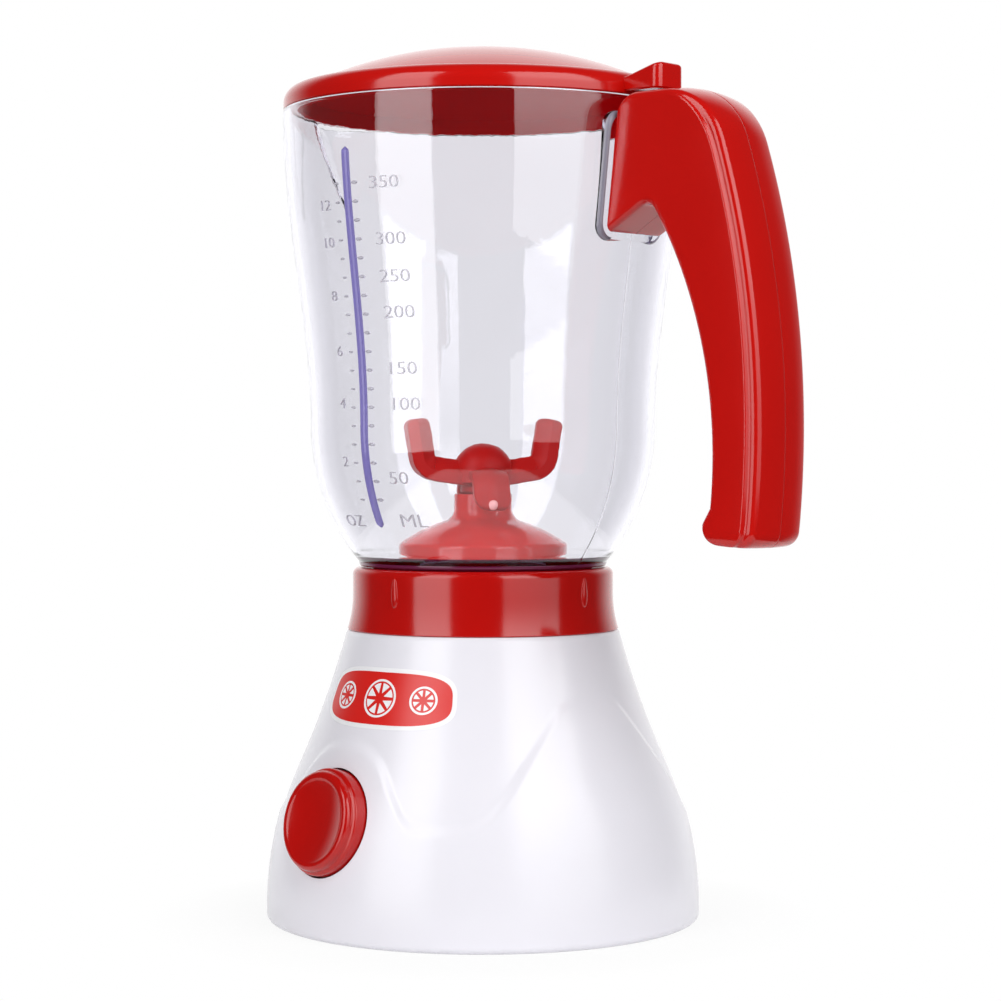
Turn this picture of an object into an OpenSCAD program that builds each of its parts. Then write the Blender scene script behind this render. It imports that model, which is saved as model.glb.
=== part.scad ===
// Toy jug blender: a bell-shaped base with a push button and a geared battery drive, a lift-off jug
// with an open handle and a four-armed blade, and a lift-off lid. Millimetres, +Z up.
// The origin is the centre of the standing face. The measuring rib faces -Y, with the button a few
// degrees from it, and the handle faces +X.

/* [Base] */
// Radius of the base where it is widest
base_r = 54; // [52:0.5:56]
// Height of the deck that carries the collar
base_h = 72; // [70:0.5:76]
// Height at which the base is widest
base_edge = 3; // [2.5:0.5:5]
// Rounding of the standing edge
edge_round = 1.5; // [0.5:0.25:2.5]
// Radius of the convex belly curve, seen from the side
belly_arc = 88; // [84:1:96]
// Lean of the wall where the belly ends, in degrees
belly_angle = 24; // [21:0.5:26]
// Radius of the deck's edge
deck_r = 33.9; // [33.9:0.1:36]
// Thickness of the deck
deck_t = 2.4; // [1.6:0.1:3.2]
// Thickness of the base wall
shell_wall = 2.2; // [1.6:0.1:3]
// Height by which the wavy skirt stands proud of the wall
relief = 0.7; // [0.4:0.1:1]
// Height of the skirt in the valleys of its wave
skirt_h = 28; // [25:0.5:31]
// Height of the wave's crest over the button, and at the back
front_lobe_h = 46.5; // [45:0.5:49]
// Radius of that crest
front_lobe_r = 18.4; // [15:0.2:20]
// Height of the wave's crests at the two sides
side_lobe_h = 57; // [54:0.5:60]
// Radius of the corners of the side crests
side_lobe_r = 10; // [8:0.5:12]
// Half length of the level stretch of the side crests
side_lobe_flat = 3.8; // [2:0.1:6]
// Lean from upright of the flanks of the crests over the button and at the back, in degrees
front_slope = 38; // [35:1:42]
// Lean from upright of the flanks of the side crests, in degrees
side_slope = 42; // [38:1:45]
// Turn of the wave and the button against the handle, in degrees
base_turn = -5.5; // [-10:0.5:10]

/* [Collar and jug seat] */
// Height of the collar
collar_h = 15.5; // [14:0.5:20]
// Radius of the collar near its top
collar_r = 32.5; // [32:0.1:33.2]
// Radius of the collar's foot
collar_foot_r = 33.8; // [33.4:0.1:33.9]
// Height over which the foot flares
collar_flare = 9; // [6:0.5:12]
// Rounding of the collar's top edge
collar_round = 1.8; // [1:0.1:2.4]
// Depth of the socket that takes the jug's neck
socket_depth = 8.5; // [7:0.5:10]
// Thickness of the socket's floor
socket_floor = 2.5; // [2:0.1:3.5]
// Radius of the hole in the socket's floor
socket_hole_r = 12; // [11:0.5:14]
// Gap at each side between the jug's neck and the socket
socket_gap = 0.35; // [0.3:0.05:0.6]
// Height of the raised marks on the collar
mark_h = 7.5; // [5:0.5:10]
// Radius of the raised marks on the collar
mark_r = 1; // [0.7:0.1:1.3]

/* [Jug] */
// Radius of the neck under the jug
neck_r = 27; // [26:0.25:28]
// Gap between the collar and the jug's foot
foot_gap = 1.1; // [0.8:0.1:2]
// Radius of the jug's foot
foot_r = 30.9; // [30:0.1:31.5]
// Height of the jug above the underside of its foot
jug_h = 112; // [106:0.5:120]
// Radius of the jug where the bowl meets the wall
waist_r = 43; // [42:0.25:44]
// Height of that waist above the foot
waist_h = 33.9; // [32:0.25:36]
// Radius of the jug at its mouth
mouth_r = 49.75; // [48.5:0.25:51]
// Straight rim at the mouth, below the flare
mouth_h = 4; // [2:0.5:8]
// Thickness of the jug's wall
jug_wall = 1.8; // [1.5:0.1:2.2]
// Thickness of the jug's floor
jug_floor = 1.8; // [1.5:0.1:3]
// Reach of the pouring spout beyond the jug's wall
spout_reach = 7.5; // [5:0.5:9]
// Radius of the spout's lip
spout_r = 10; // [8:0.5:12]
// Height of the spout
spout_h = 34; // [26:1:42]
// Width of the measuring rib on the front
rib_w = 1.8; // [1.2:0.1:2.4]
// Height by which the measuring rib stands proud
rib_t = 0.7; // [0.4:0.1:1]
// Height of the rib's lower end above the foot
rib_from = 9.4; // [8:0.2:14]
// Height of the rib's upper end above the foot
rib_to = 99.4; // [90:0.2:102]

/* [Handle] */
// Width of the handle across its two halves
handle_w = 21; // [19:0.5:24]
// Reach of the handle beyond the jug's mouth
handle_reach = 42.7; // [40:0.5:48]
// Height of the handle's top above the jug's mouth
handle_rise = 0.2; // [0.2:0.1:0.8]
// Length of the handle from top to toe
handle_len = 106; // [100:0.5:112]
// Depth of the grip where it is slimmest
grip_d = 13.8; // [12.5:0.2:16]
// Radius of the grip's outer curve, seen from the side
outer_arc = 215; // [180:5:260]
// Height of the outer curve's furthest point below the handle's top
outer_drop = 79.6; // [76:0.4:84]
// Radius of the grip's inner curve, seen from the side
inner_arc = 107; // [95:1:125]
// Height of the inner curve's furthest point below the handle's top
inner_drop = 85.8; // [83:0.4:90]
// Radius of the handle's upper outer corner
corner_r = 17.9; // [12:0.5:22]
// Radius of the inner corner under the handle's root
crook_r = 3; // [2:0.25:4]
// Height of the handle's root where it meets the jug
root_h = 31.8; // [29:0.2:36]
// Rise of the root's underside towards the grip, in degrees
root_slope = 23; // [16:1:28]
// Gap between the jug's mouth and the root's end face
root_gap = 1.7; // [1.4:0.1:2.4]
// Lean of the root's end face, in degrees
root_lean = 6.5; // [5:0.5:8]
// Radius of the handle's toe
toe_r = 4; // [3:0.25:5]
// Rounding of the handle's long edges
grip_round = 2.8; // [2:0.2:4.4]
// Crown of the handle's outer face
grip_crown = 0.8; // [0.4:0.2:2]
// Thickness of the handle's walls
handle_wall = 2.2; // [1.8:0.1:2.6]
// Thickness of the tongue that the two halves clamp
tongue_t = 4; // [3:0.5:5]
// Margin of the jug's clear bracket around the handle's root
bracket_rim = 1.5; // [1:0.1:2.5]

/* [Lid] */
// Radius of the lid's rim
lid_r = 49.6; // [48.5:0.1:50.5]
// Height of the lid's rim band
rim_h = 5.8; // [4.5:0.1:6.5]
// Rounding of the rim's upper edge
rim_round = 4; // [2.5:0.25:4.25]
// Height of the lid from rim to crown
lid_h = 15.4; // [13:0.2:18]
// Radius at which the dome springs
dome_r = 43.6; // [42:0.2:44.5]
// Thickness of the lid's wall
lid_wall = 1.8; // [1.4:0.1:2.2]
// Gap at each side between the lid's plug and the jug's wall
plug_gap = 1.6; // [0.6:0.1:2]
// Depth of the plug below the rim
plug_depth = 1.6; // [1.2:0.1:4]
// Length of the thumb tab beyond the rim
tab_len = 9.6; // [8:0.2:11]
// Width of the thumb tab
tab_w = 10; // [8:0.5:13]
// Gap between the thumb tab and the handle's top
tab_gap = 0.4; // [0.4:0.1:1.2]
// Height of the tab's raised end
tab_h = 6.2; // [5:0.1:7]
// Height of the tab where it leaves the rim
tab_root_h = 3.9; // [2.5:0.1:4.5]

/* [Blade and its housing] */
// Radius of the housing's flange on the jug's floor
housing_r = 21; // [19:0.5:22.5]
// Height of the flange's straight edge
housing_edge = 2.8; // [2:0.1:3.5]
// Height of the housing
housing_h = 15.5; // [14:0.1:17]
// Radius of the housing's neck
housing_neck_r = 7.2; // [6.5:0.1:8]
// Radius of the blade's hub
hub_r = 6.8; // [6:0.1:7.2]
// Height of the hub's straight part, with its slim neck
hub_h = 6; // [5.5:0.1:6.5]
// Radius of the slim neck under the hub
hub_neck_r = 5.6; // [5:0.1:6]
// Height of that neck
hub_neck_h = 2; // [1.2:0.1:2.4]
// Gap between the hub and the housing
hub_gap = 0.6; // [0.5:0.1:1.2]
// Half span of the blade
blade_span = 18.8; // [17:0.2:20]
// Width of the blade's arms
arm_w = 9; // [7:0.25:10]
// Thickness of the arms at their edges
arm_t = 3; // [2.2:0.1:3.4]
// Height of the bevelled ridge along the arms
arm_ridge = 2.6; // [1.5:0.1:3]
// Rise of the upturned arms, in degrees
arm_rise = 13; // [8:1:16]
// Height of the upturned tips above the arms' root
tip_up = 17.8; // [14:0.2:19]
// Depth of the downturned tips below the arms' root
tip_down = 7.4; // [6.2:0.2:8]
// Rounding of the leading corner of the downturned tips
tip_lead = 4; // [1:0.5:5]
// Direction of the downturned arms at rest, in degrees from the handle
blade_turn = -39; // [-90:1:90]

/* [Drive] */
// Radius of the two main shafts
shaft_r = 2; // [1.5:0.1:2.5]
// Running clearance round a shaft
shaft_fit = 0.05; // [0.02:0.01:0.08]
// Size of the gear teeth
gear_module = 0.5; // [0.45:0.01:0.52]
// Teeth on the motor's pinion
pinion_teeth = 14; // [12:1:16]
// Teeth on the drive gear
gear_teeth = 42; // [36:1:44]
// Thickness of the gears
gear_t = 4.5; // [3:0.5:6]
// Room for the gears under the deck
gear_room = 13; // [11:0.5:15]
// Thickness of the plate that carries the motor
plate_t = 2.5; // [2:0.1:3]
// Radius of that plate
plate_r = 29; // [28.5:0.25:31]
// Radius of the motor's can
motor_r = 10.2; // [9.5:0.1:10.6]
// Distance across the flats of the can
motor_flat = 15.5; // [14.5:0.1:17]
// Length of the can
motor_len = 25; // [22:0.5:26]
// Radius of the coupling dogs
dog_r = 9.5; // [8.5:0.1:10.5]
// Height of the dogs' teeth
dog_tooth = 4; // [3:0.25:5]

/* [Button] */
// Height of the button's centre on the wall
button_h = 28; // [26:0.5:30]
// Upward tilt of the button, in degrees
button_tilt = 12; // [8:1:15]
// Radius of the button
button_r = 13; // [12:0.1:13.5]
// Reach of the button beyond the wall
button_out = 6.1; // [5.5:0.1:8]
// Depth of the dish in the button's face
dish = 1.6; // [0.8:0.1:2.2]
// Travel of the button
button_travel = 3; // [2:0.25:4]
// Gap round the button in its sleeve
button_gap = 0.5; // [0.3:0.05:0.6]
// Length of the sleeve inside the wall
sleeve_len = 10; // [8:0.5:12]

/* [Battery bay] */
// Radius of a cell
cell_r = 7.25; // [7:0.05:7.4]
// Length of a cell with its nub
cell_len = 50.5; // [48:0.1:51]
// Gap round the cells
cell_gap = 0.35; // [0.25:0.05:0.5]
// Room for a contact spring
spring_room = 4; // [3.5:0.1:5]
// Thickness of the contact plates
contact_t = 0.5; // [0.4:0.05:0.7]
// Thickness of the bay's walls
bay_wall = 1.6; // [1.2:0.1:2]
// Recess of the bottom plate above the standing face
bottom_recess = 1; // [0.8:0.1:1.6]
// Thickness of the bottom plate
bottom_t = 2.4; // [2:0.1:3]
// Thickness of the battery door
door_t = 1.2; // [1:0.1:1.4]
// Gap round a cover in its seat
cover_gap = 0.2; // [0.15:0.05:0.4]

/* [Fasteners] */
// Radius of a screw's shank
screw_r = 1.3; // [1.1:0.05:1.5]
// Radius of a screw's head
head_r = 2.7; // [2.4:0.1:2.9]
// Height of a screw's head
head_h = 1.7; // [1.2:0.1:2]
// Clearance of a screw in its hole
screw_fit = 0.1; // [0.08:0.01:0.15]
// Radius of a screw boss
boss_r = 3.4; // [3.1:0.1:3.8]

/* [Hidden] */
$fn = 96;
eps = 0.01;
red = [0.75, 0.08, 0.05];
white = [0.93, 0.92, 0.95];
clear = [0.85, 0.85, 0.92, 0.35];
steel = [0.7, 0.71, 0.73];
brass = [0.8, 0.65, 0.3];
nylon = [0.88, 0.87, 0.82];
black = [0.12, 0.12, 0.13];

// The wall of the base: a convex belly that runs into a concave neck
belly_z = base_edge + belly_arc * sin(belly_angle);
belly_r = base_r - belly_arc * (1 - cos(belly_angle));
neck_lean = 2 * atan2(belly_r - deck_r - relief, base_h - belly_z) - belly_angle;
neck_arc = (base_h - belly_z) / (sin(belly_angle) - sin(neck_lean));
function neck_turn(z) = asin(sin(belly_angle) - (z - belly_z) / neck_arc);
function bell_r(z) = z <= base_edge ? base_r
    : z <= belly_z ? base_r - belly_arc + sqrt(pow(belly_arc, 2) - pow(z - base_edge, 2))
    : belly_r - neck_arc * (cos(neck_turn(z)) - cos(belly_angle));

// Levels from the deck up to the jug's mouth
collar_top = base_h + collar_h;
socket_z = collar_top - socket_depth;
foot_z = collar_top + foot_gap;
floor_z = foot_z + jug_floor;
waist_z = foot_z + waist_h;
mouth_z = foot_z + jug_h;

// The jug's outside: a round bowl to the waist, then a wall that flares softly to the mouth
bowl_arc = (pow(waist_r - foot_r, 2) + pow(waist_h - 1, 2)) / (2 * (waist_r - foot_r));
function ease(t) = t * t * (3 - 2 * t);
function jug_r(z) = z >= mouth_z - mouth_h ? mouth_r
    : z >= waist_z ? waist_r + (mouth_r - waist_r) * ease((z - waist_z) / (mouth_z - mouth_h - waist_z))
    : waist_r - bowl_arc + sqrt(pow(bowl_arc, 2) - pow(z - waist_z, 2));

// Levels of the drive under the deck
plate_top = base_h - deck_t - gear_room;
plate_z = plate_top - plate_t;
gear_z = plate_top + 0.7;
gear_reach = gear_module * (pinion_teeth + gear_teeth) / 2;
shaft_hole = shaft_r + shaft_fit;
motor_shaft_r = 1;
motor_shaft_hole = motor_shaft_r + shaft_fit;
press = 0.02;
can_t = 0.8;
cap_t = motor_len / 10;
motor_pin = 0.6 * motor_r;

// Levels of the coupling between base and jug
ring_t = 1;
spigot_z = foot_z - ring_t - 0.2;
dog_disc = 2.7;
dog_z = spigot_z - 0.3 - dog_disc;
dog_gap = 0.4;
dog_sweep = 46;
dog_bore = 2.2 * shaft_r;

// The button's seat on the wall, before the turn of the base
button_y = -bell_r(button_h);
function turned(p) = [p[0] * cos(base_turn) - p[1] * sin(base_turn),
    p[0] * sin(base_turn) + p[1] * cos(base_turn), p[2]];
hole_r = button_r + button_gap;
sleeve_r = hole_r + shell_wall;
flange_r = sleeve_r - 0.6;
flange_t = 1.6;
flange_w = -sleeve_len - 0.3;
stem_w = -9;
switch_w = flange_w - flange_t - button_travel - 0.6;
switch_size = 13;
switch_deep = 9;
plunger_r = 2.2;
bracket_w = 18;

// The battery bay in the bottom plate
plate_floor = bottom_recess + bottom_t;
cell_y = cell_r + cell_gap;
cell_z = plate_floor + cell_gap + cell_r;
bay_x = (cell_len + spring_room) / 2 + contact_t;
bay_y = 2 * cell_r + 2 * cell_gap;
bay_z = cell_z + cell_r + cell_gap;
door_lap = 1.6;
pad_r = 10;
door_screw_x = bay_x + door_lap + boss_r + 1;
tab_top = bay_z + bay_wall + 3;
bottom_boss = 38;

// Screw places round the axis, and how far the screws bite into their bosses
collar_boss = 22;
plate_boss = 25;
plate_boss_turn = 30;
collar_bite = 3.5 * screw_r;
plate_bite = 5.5 * screw_r;
bottom_bite = 7 * screw_r;
bite_spare = screw_r / 2;

// The handle, drawn in its own side view as x and z
handle_top = mouth_z + handle_rise;
handle_x = mouth_r + handle_reach;
toe_z = handle_top - handle_len;
outer_c = [handle_x - outer_arc, handle_top - outer_drop];
inner_c = [handle_x - grip_d - inner_arc, handle_top - inner_drop];
corner_turn = asin((outer_drop - corner_r) / (outer_arc - corner_r));
corner_c = outer_c + (outer_arc - corner_r) * [cos(corner_turn), sin(corner_turn)];
root_x = mouth_r + root_gap;
root_foot = [root_x - root_h * tan(root_lean), handle_top - root_h];
under = [cos(root_slope), sin(root_slope)];
under_down = [sin(root_slope), -cos(root_slope)];
crook_from = root_foot + crook_r * under_down - inner_c;
crook_run = sqrt(pow(crook_from * under, 2) - crook_from * crook_from + pow(inner_arc - crook_r, 2))
    - crook_from * under;
crook_c = inner_c + crook_from + crook_run * under;
crook_turn = atan2(crook_c[1] - inner_c[1], crook_c[0] - inner_c[0]);
heel_r = toe_r + 1;
heel_c = [handle_x - heel_r - 1.8, toe_z + heel_r];
toe_c = [handle_x - grip_d + 1.1, toe_z + toe_r];
outer_end = asin((heel_c[1] - outer_c[1]) / (outer_arc - heel_r));
inner_end = asin((toe_z + 2.6 * toe_r - inner_c[1]) / inner_arc) - 1;
tongue_x = root_x + 11;
tongue_z = handle_top - root_h / 2;
tongue_h = 20;
handle_screws_at = [[root_x + 5, tongue_z], [handle_x - grip_d / 2 - 0.6, toe_z + 13]];
screw_sink = 2.4;

// Points along an arc, from one angle to another
function arc(c, r, a0, a1, n) = [for (i = [0:n]) let (a = a0 + (a1 - a0) * i / n) c + r * [cos(a), sin(a)]];
function line(a, b, n) = [for (i = [0:n - 1]) a + (b - a) * i / n];
function rev(list) = [for (i = [len(list) - 1:-1:0]) list[i]];

// A closed solid through rings of equally many points, capped at both ends
module loft(rings) {
    n = len(rings[0]);
    last = (len(rings) - 1) * n;
    sides = [for (i = [0:len(rings) - 2], j = [0:n - 1])
        let (a = i * n + j, b = i * n + (j + 1) % n) each [[a, b + n, a + n], [a, b, b + n]]];
    polyhedron([for (ring = rings) each ring], concat(sides, [[for (j = [n - 1:-1:0]) j]],
        [[for (j = [0:n - 1]) last + j]]));
}

// A tube of given radius through points that lie in open space
module tube(points, r, n) {
    count = len(points);
    rings = [for (i = [0:count - 1])
        let (
            ahead = points[min(i + 1, count - 1)] - points[max(i - 1, 0)],
            t = ahead / norm(ahead),
            guide = abs(t[2]) > 0.9 ? [1, 0, 0] : [0, 0, 1],
            u = cross(guide, t) / norm(cross(guide, t)),
            v = cross(t, u)
        ) [for (j = [n - 1:-1:0]) points[i] + r * (cos(360 * j / n) * u + sin(360 * j / n) * v)]];
    loft(rings);
}

// Gear outline with involute flanks, a tooth centred on the x axis
module gear_outline(teeth, slack) {
    pitch_r = gear_module * teeth / 2;
    start_r = pitch_r * cos(20);
    root_r = pitch_r - 1.2 * gear_module;
    tip_r = pitch_r + 0.85 * gear_module;
    half = 90 / teeth - slack / pitch_r * 90 / PI;
    function spread(r) = r <= start_r ? 0 : let (a = acos(start_r / r)) tan(a) * 180 / PI - a;
    function flank(r) = half + spread(pitch_r) - spread(r);
    steps = [root_r, max(root_r, start_r), pitch_r, tip_r];
    polygon([for (k = [0:teeth - 1]) let (mid = 360 * k / teeth) each concat(
        [for (r = steps) r * [cos(mid - flank(r)), sin(mid - flank(r))]],
        [for (r = rev(steps)) r * [cos(mid + flank(r)), sin(mid + flank(r))]])]);
}

// A pan-head screw that points up, with its head's seat at the origin
module screw(length) {
    translate([0, 0, -head_h])
        cylinder(r = head_r, h = head_h);
    cylinder(r = screw_r, h = length);
}

// Copies at three places round the axis
module three_times(radius, first) {
    for (k = [0:2])
        rotate(first + 120 * k)
            translate([radius, 0, 0])
                children();
}

// Copies at the four corners of the base
module four_corners() {
    for (k = [0:3])
        rotate(45 + 90 * k)
            translate([bottom_boss, 0, 0])
                children();
}

// Solid of the base's wall, drawn in by a given amount
module bell(inset, from, to, steps) {
    rotate_extrude()
        polygon(concat([[0, from]], [for (i = [0:steps]) let (z = from + (to - from) * i / steps)
            [bell_r(z) - inset, z]], [[0, to]]));
}

// Outline of one crest of the wave with its two flanks, above the standing face
module crest(peak, r, flat, slope) {
    foot = flat + r * cos(slope) + (peak - r + r * sin(slope) - skirt_h + 2) * tan(slope);
    polygon(concat([[-foot, skirt_h - 2], [foot, skirt_h - 2]], arc([flat, peak - r], r, slope, 90, 6),
        arc([-flat, peak - r], r, 90, 180 - slope, 6)));
}

// Places its children on the button's axis, outward up
module on_button() {
    rotate(base_turn)
        translate([0, button_y, button_h])
            rotate([90 - button_tilt, 0, 0])
                children();
}

// The moulded bell of the base with its wavy skirt, button sleeve and screw bosses
module base_shell() {
    color(white)
        difference() {
            union() {
                bell(relief, edge_round, base_h, 20);
                intersection() {
                    union() {
                        bell(0, edge_round, base_h - 1, 20);
                        rotate_extrude()
                            polygon(concat([[0, 0]],
                                arc([base_r - edge_round, edge_round], edge_round, -90, 0, 4),
                                [[0, edge_round]]));
                    }
                    union() {
                        cylinder(r = base_r + 1, h = skirt_h);
                        rotate([90, 0, base_turn])
                            linear_extrude(2 * base_r + 2, center = true)
                                crest(front_lobe_h, front_lobe_r, 0, front_slope);
                        rotate([90, 0, base_turn + 90])
                            linear_extrude(2 * base_r + 2, center = true)
                                crest(side_lobe_h, side_lobe_r, side_lobe_flat, side_slope);
                    }
                }
            }
            difference() {
                bell(relief + shell_wall, -1, base_h - deck_t, 12);
                intersection() {
                    bell(relief + shell_wall / 2, plate_floor, base_h - deck_t / 2, 12);
                    union() {
                        translate([0, 0, plate_floor])
                            four_corners()
                                cylinder(r = boss_r, h = base_h);
                        translate([0, 0, plate_top])
                            three_times(plate_boss, plate_boss_turn)
                                cylinder(r = boss_r, h = base_h);
                        on_button()
                            translate([0, 0, -sleeve_len])
                                cylinder(r = sleeve_r, h = sleeve_len);
                    }
                }
            }
            on_button()
                translate([0, 0, -sleeve_len - 1])
                    cylinder(r = hole_r, h = sleeve_len + button_out);
            translate([0, 0, base_h - deck_t - 1])
                cylinder(r = 2 * shaft_r + press, h = deck_t + 2);
            translate([0, 0, base_h - deck_t - 1])
                three_times(collar_boss, 90)
                    cylinder(r = screw_r + screw_fit, h = deck_t + 2);
            translate([0, 0, plate_top - 1])
                three_times(plate_boss, plate_boss_turn)
                    cylinder(r = screw_r + screw_fit, h = 1 + plate_bite + bite_spare);
            translate([0, 0, plate_floor - 1])
                four_corners()
                    cylinder(r = screw_r + screw_fit, h = 1 + bottom_bite + bite_spare);
        }
}

// The ring on the deck that takes the jug's neck, with four raised marks
module collar() {
    socket_r = neck_r + socket_gap;
    under_r = collar_r - shell_wall;
    flare = [for (i = [0:5]) let (t = i / 5)
        [collar_r + (collar_foot_r - collar_r) * pow(1 - t, 2), base_h + collar_flare * t]];
    color(red)
        difference() {
            union() {
                rotate_extrude()
                    polygon(concat([[under_r, base_h]], flare,
                        arc([collar_r - collar_round, collar_top - collar_round], collar_round, 0, 90, 5),
                        [[socket_r + 0.5, collar_top], [socket_r, collar_top - 0.5], [socket_r, socket_z],
                        [socket_hole_r, socket_z], [socket_hole_r, socket_z - socket_floor],
                        [under_r, socket_z - socket_floor]]));
                translate([0, 0, base_h])
                    three_times(collar_boss, 90)
                        cylinder(r = boss_r, h = socket_z - base_h - socket_floor / 2);
                for (a = [0:90:270])
                    rotate(a)
                        translate([collar_r - mark_r + 0.4, 0, socket_z - mark_h / 10])
                            cylinder(r = mark_r, h = mark_h);
            }
            translate([0, 0, base_h - 1])
                three_times(collar_boss, 90)
                    cylinder(r = screw_r + screw_fit, h = 1 + collar_bite + bite_spare);
        }
}

module collar_screws() {
    color(steel)
        translate([0, 0, base_h - deck_t])
            three_times(collar_boss, 90)
                screw(deck_t + collar_bite);
}

// The cover under the base, with the battery bay and the bracket behind the switch
module bottom_plate() {
    color(white)
        difference() {
            union() {
                translate([0, 0, bottom_recess])
                    cylinder(r = base_r - relief - shell_wall - cover_gap, h = bottom_t);
                translate([-bay_x - bay_wall, -bay_y - bay_wall, plate_floor - eps])
                    cube([2 * (bay_x + bay_wall), 2 * (bay_y + bay_wall),
                        bay_z + bay_wall - plate_floor + eps]);
                translate([door_screw_x, 0, plate_floor - eps])
                    cylinder(r = boss_r, h = 7);
                intersection() {
                    on_button()
                        translate([-bracket_w / 2, -2 * button_h, switch_w - switch_deep - 2])
                            cube([bracket_w, 2 * button_h + switch_size / 2 + 1, 2]);
                    translate([-base_r, -base_r, bottom_recess + bottom_t / 2])
                        cube([2 * base_r, 2 * base_r, base_h]);
                }
            }
            translate([-bay_x, -bay_y, -1])
                cube([2 * bay_x, 2 * bay_y, bay_z + 1]);
            translate([-bay_x - door_lap - cover_gap, -bay_y - door_lap - cover_gap, -1])
                cube([bay_x + door_lap + door_screw_x + boss_r + 2 * cover_gap,
                    2 * (bay_y + door_lap + cover_gap), bottom_recess + door_t + 1]);
            translate([door_screw_x, 0, -1])
                cylinder(r = screw_r + screw_fit, h = plate_floor + 6);
            for (y = [-cell_y, cell_y])
                translate([-bay_x - eps, y - 2.2, bay_z - 1])
                    cube([contact_t + 0.2, 4.4, bay_wall + 2]);
            four_corners() {
                cylinder(r = screw_r + screw_fit, h = plate_floor + 1);
                translate([0, 0, -1])
                    cylinder(r = head_r + cover_gap, h = bottom_recess + bottom_t / 2 + 1);
            }
        }
}

module bottom_screws() {
    color(steel)
        four_corners()
            translate([0, 0, bottom_recess + bottom_t / 2])
                screw(bottom_t / 2 + bottom_bite);
}

// The door of the battery bay, with a low pad that is level with the standing edge
module battery_door() {
    color(white)
        difference() {
            union() {
                translate([-bay_x - door_lap, -bay_y - door_lap, bottom_recess])
                    cube([bay_x + door_lap + door_screw_x + boss_r, 2 * (bay_y + door_lap), door_t]);
                cylinder(r = pad_r, h = bottom_recess + eps);
            }
            translate([door_screw_x, 0, 0])
                cylinder(r = screw_r + screw_fit, h = plate_floor);
            for (k = [0:4])
                translate([-bay_x + 4, -6 + 3 * k, bottom_recess - eps])
                    cube([6, 1.2, 0.5]);
        }
}

module battery_door_screw() {
    color(steel)
        translate([door_screw_x, 0, bottom_recess])
            screw_flat();
}

// A thin-headed screw whose head lies within the bottom recess
module screw_flat() {
    translate([0, 0, -bottom_recess + 0.2])
        cylinder(r = head_r, h = bottom_recess - 0.2);
    cylinder(r = screw_r, h = plate_floor - bottom_recess + 4);
}

// Two cells side by side, turned end for end
module battery_cells() {
    nub = 1.2;
    color(black)
        for (s = [-1, 1])
            translate([s * (cell_len + spring_room) / 2, s * cell_y, cell_z])
                rotate([0, -90 * s, 0]) {
                    cylinder(r = 2.6, h = nub + eps);
                    translate([0, 0, nub])
                        cylinder(r = cell_r, h = cell_len - nub);
                }
}

// Coil contacts that press the cells' flat ends
module battery_springs() {
    turns = 3;
    wire = 0.055 * cell_r;
    coil = 0.63 * cell_r;
    color(steel)
        for (s = [-1, 1])
            translate([-s * (cell_len + spring_room) / 2, s * cell_y, cell_z])
                rotate([0, 90 * s, 0])
                    tube([for (i = [0:8 * turns]) let (t = i / (8 * turns))
                        [coil * (1 - t / 3) * cos(45 * i), coil * (1 - t / 3) * sin(45 * i),
                        wire + 0.05 + (spring_room - 2 * wire - 0.1) * t]], wire, 6);
}

// Contact plates: two with solder tabs at one end, one bridge at the other
module battery_contacts() {
    plate = 2 * cell_r - 3;
    color(brass) {
        for (y = [-cell_y, cell_y]) {
            translate([-bay_x, y - plate / 2, cell_z - plate / 2])
                cube([contact_t, plate, plate]);
            translate([-bay_x, y - 2, cell_z])
                cube([contact_t, 4, tab_top - cell_z]);
        }
        translate([bay_x - contact_t, -cell_y - plate / 2, cell_z - plate / 2])
            cube([contact_t, 2 * cell_y + plate, plate]);
    }
}

// The plate that hangs from the deck's bosses and carries motor and spindle
module gear_plate() {
    color(nylon)
        difference() {
            translate([0, 0, plate_z])
                cylinder(r = plate_r, h = plate_t);
            translate([0, 0, plate_z - 1])
                cylinder(r = shaft_hole, h = plate_t + 2);
            translate([0, gear_reach, plate_z - 1])
                cylinder(r = 3 + screw_fit, h = plate_t + 2);
            for (s = [-1, 1])
                translate([s * 7, gear_reach, plate_z - 1])
                    cylinder(r = 1.1, h = plate_t + 2);
            translate([0, 0, plate_z - 1])
                three_times(plate_boss, plate_boss_turn)
                    cylinder(r = screw_r + screw_fit, h = plate_t + 2);
        }
}

module gear_plate_screws() {
    color(steel)
        translate([0, 0, plate_z])
            three_times(plate_boss, plate_boss_turn)
                screw(plate_t + plate_bite);
}

// The motor's flat-sided steel can
module motor_can() {
    color(steel)
        translate([0, gear_reach, plate_z - motor_len])
            difference() {
                union() {
                    intersection() {
                        cylinder(r = motor_r, h = motor_len);
                        translate([-motor_r, -motor_flat / 2, 0])
                            cube([2 * motor_r, motor_flat, motor_len]);
                    }
                    cylinder(r = 3, h = motor_len + 1.6);
                }
                intersection() {
                    translate([0, 0, -1])
                        cylinder(r = motor_r - can_t, h = motor_len - 3);
                    translate([-motor_r, -motor_flat / 2 + can_t, -1])
                        cube([2 * motor_r, motor_flat - 2 * can_t, motor_len]);
                }
                translate([0, 0, motor_len - 8])
                    cylinder(r = motor_shaft_hole, h = 12);
                for (s = [-1, 1])
                    translate([s * 7, 0, motor_len - 3])
                        cylinder(r = 1.1, h = 4);
            }
}

// The motor's plastic end cap with its two terminals
module motor_end_cap() {
    color(nylon)
        translate([0, gear_reach, plate_z - motor_len - cap_t]) {
            intersection() {
                cylinder(r = motor_r - can_t / 2, h = cap_t);
                translate([-motor_r, -motor_flat / 2 + can_t / 2, 0])
                    cube([2 * motor_r, motor_flat - can_t, cap_t]);
            }
            for (s = [-1, 1])
                translate([s * motor_pin - 0.3, -1, -2])
                    cube([0.6, 2, 2 + eps]);
        }
}

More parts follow.
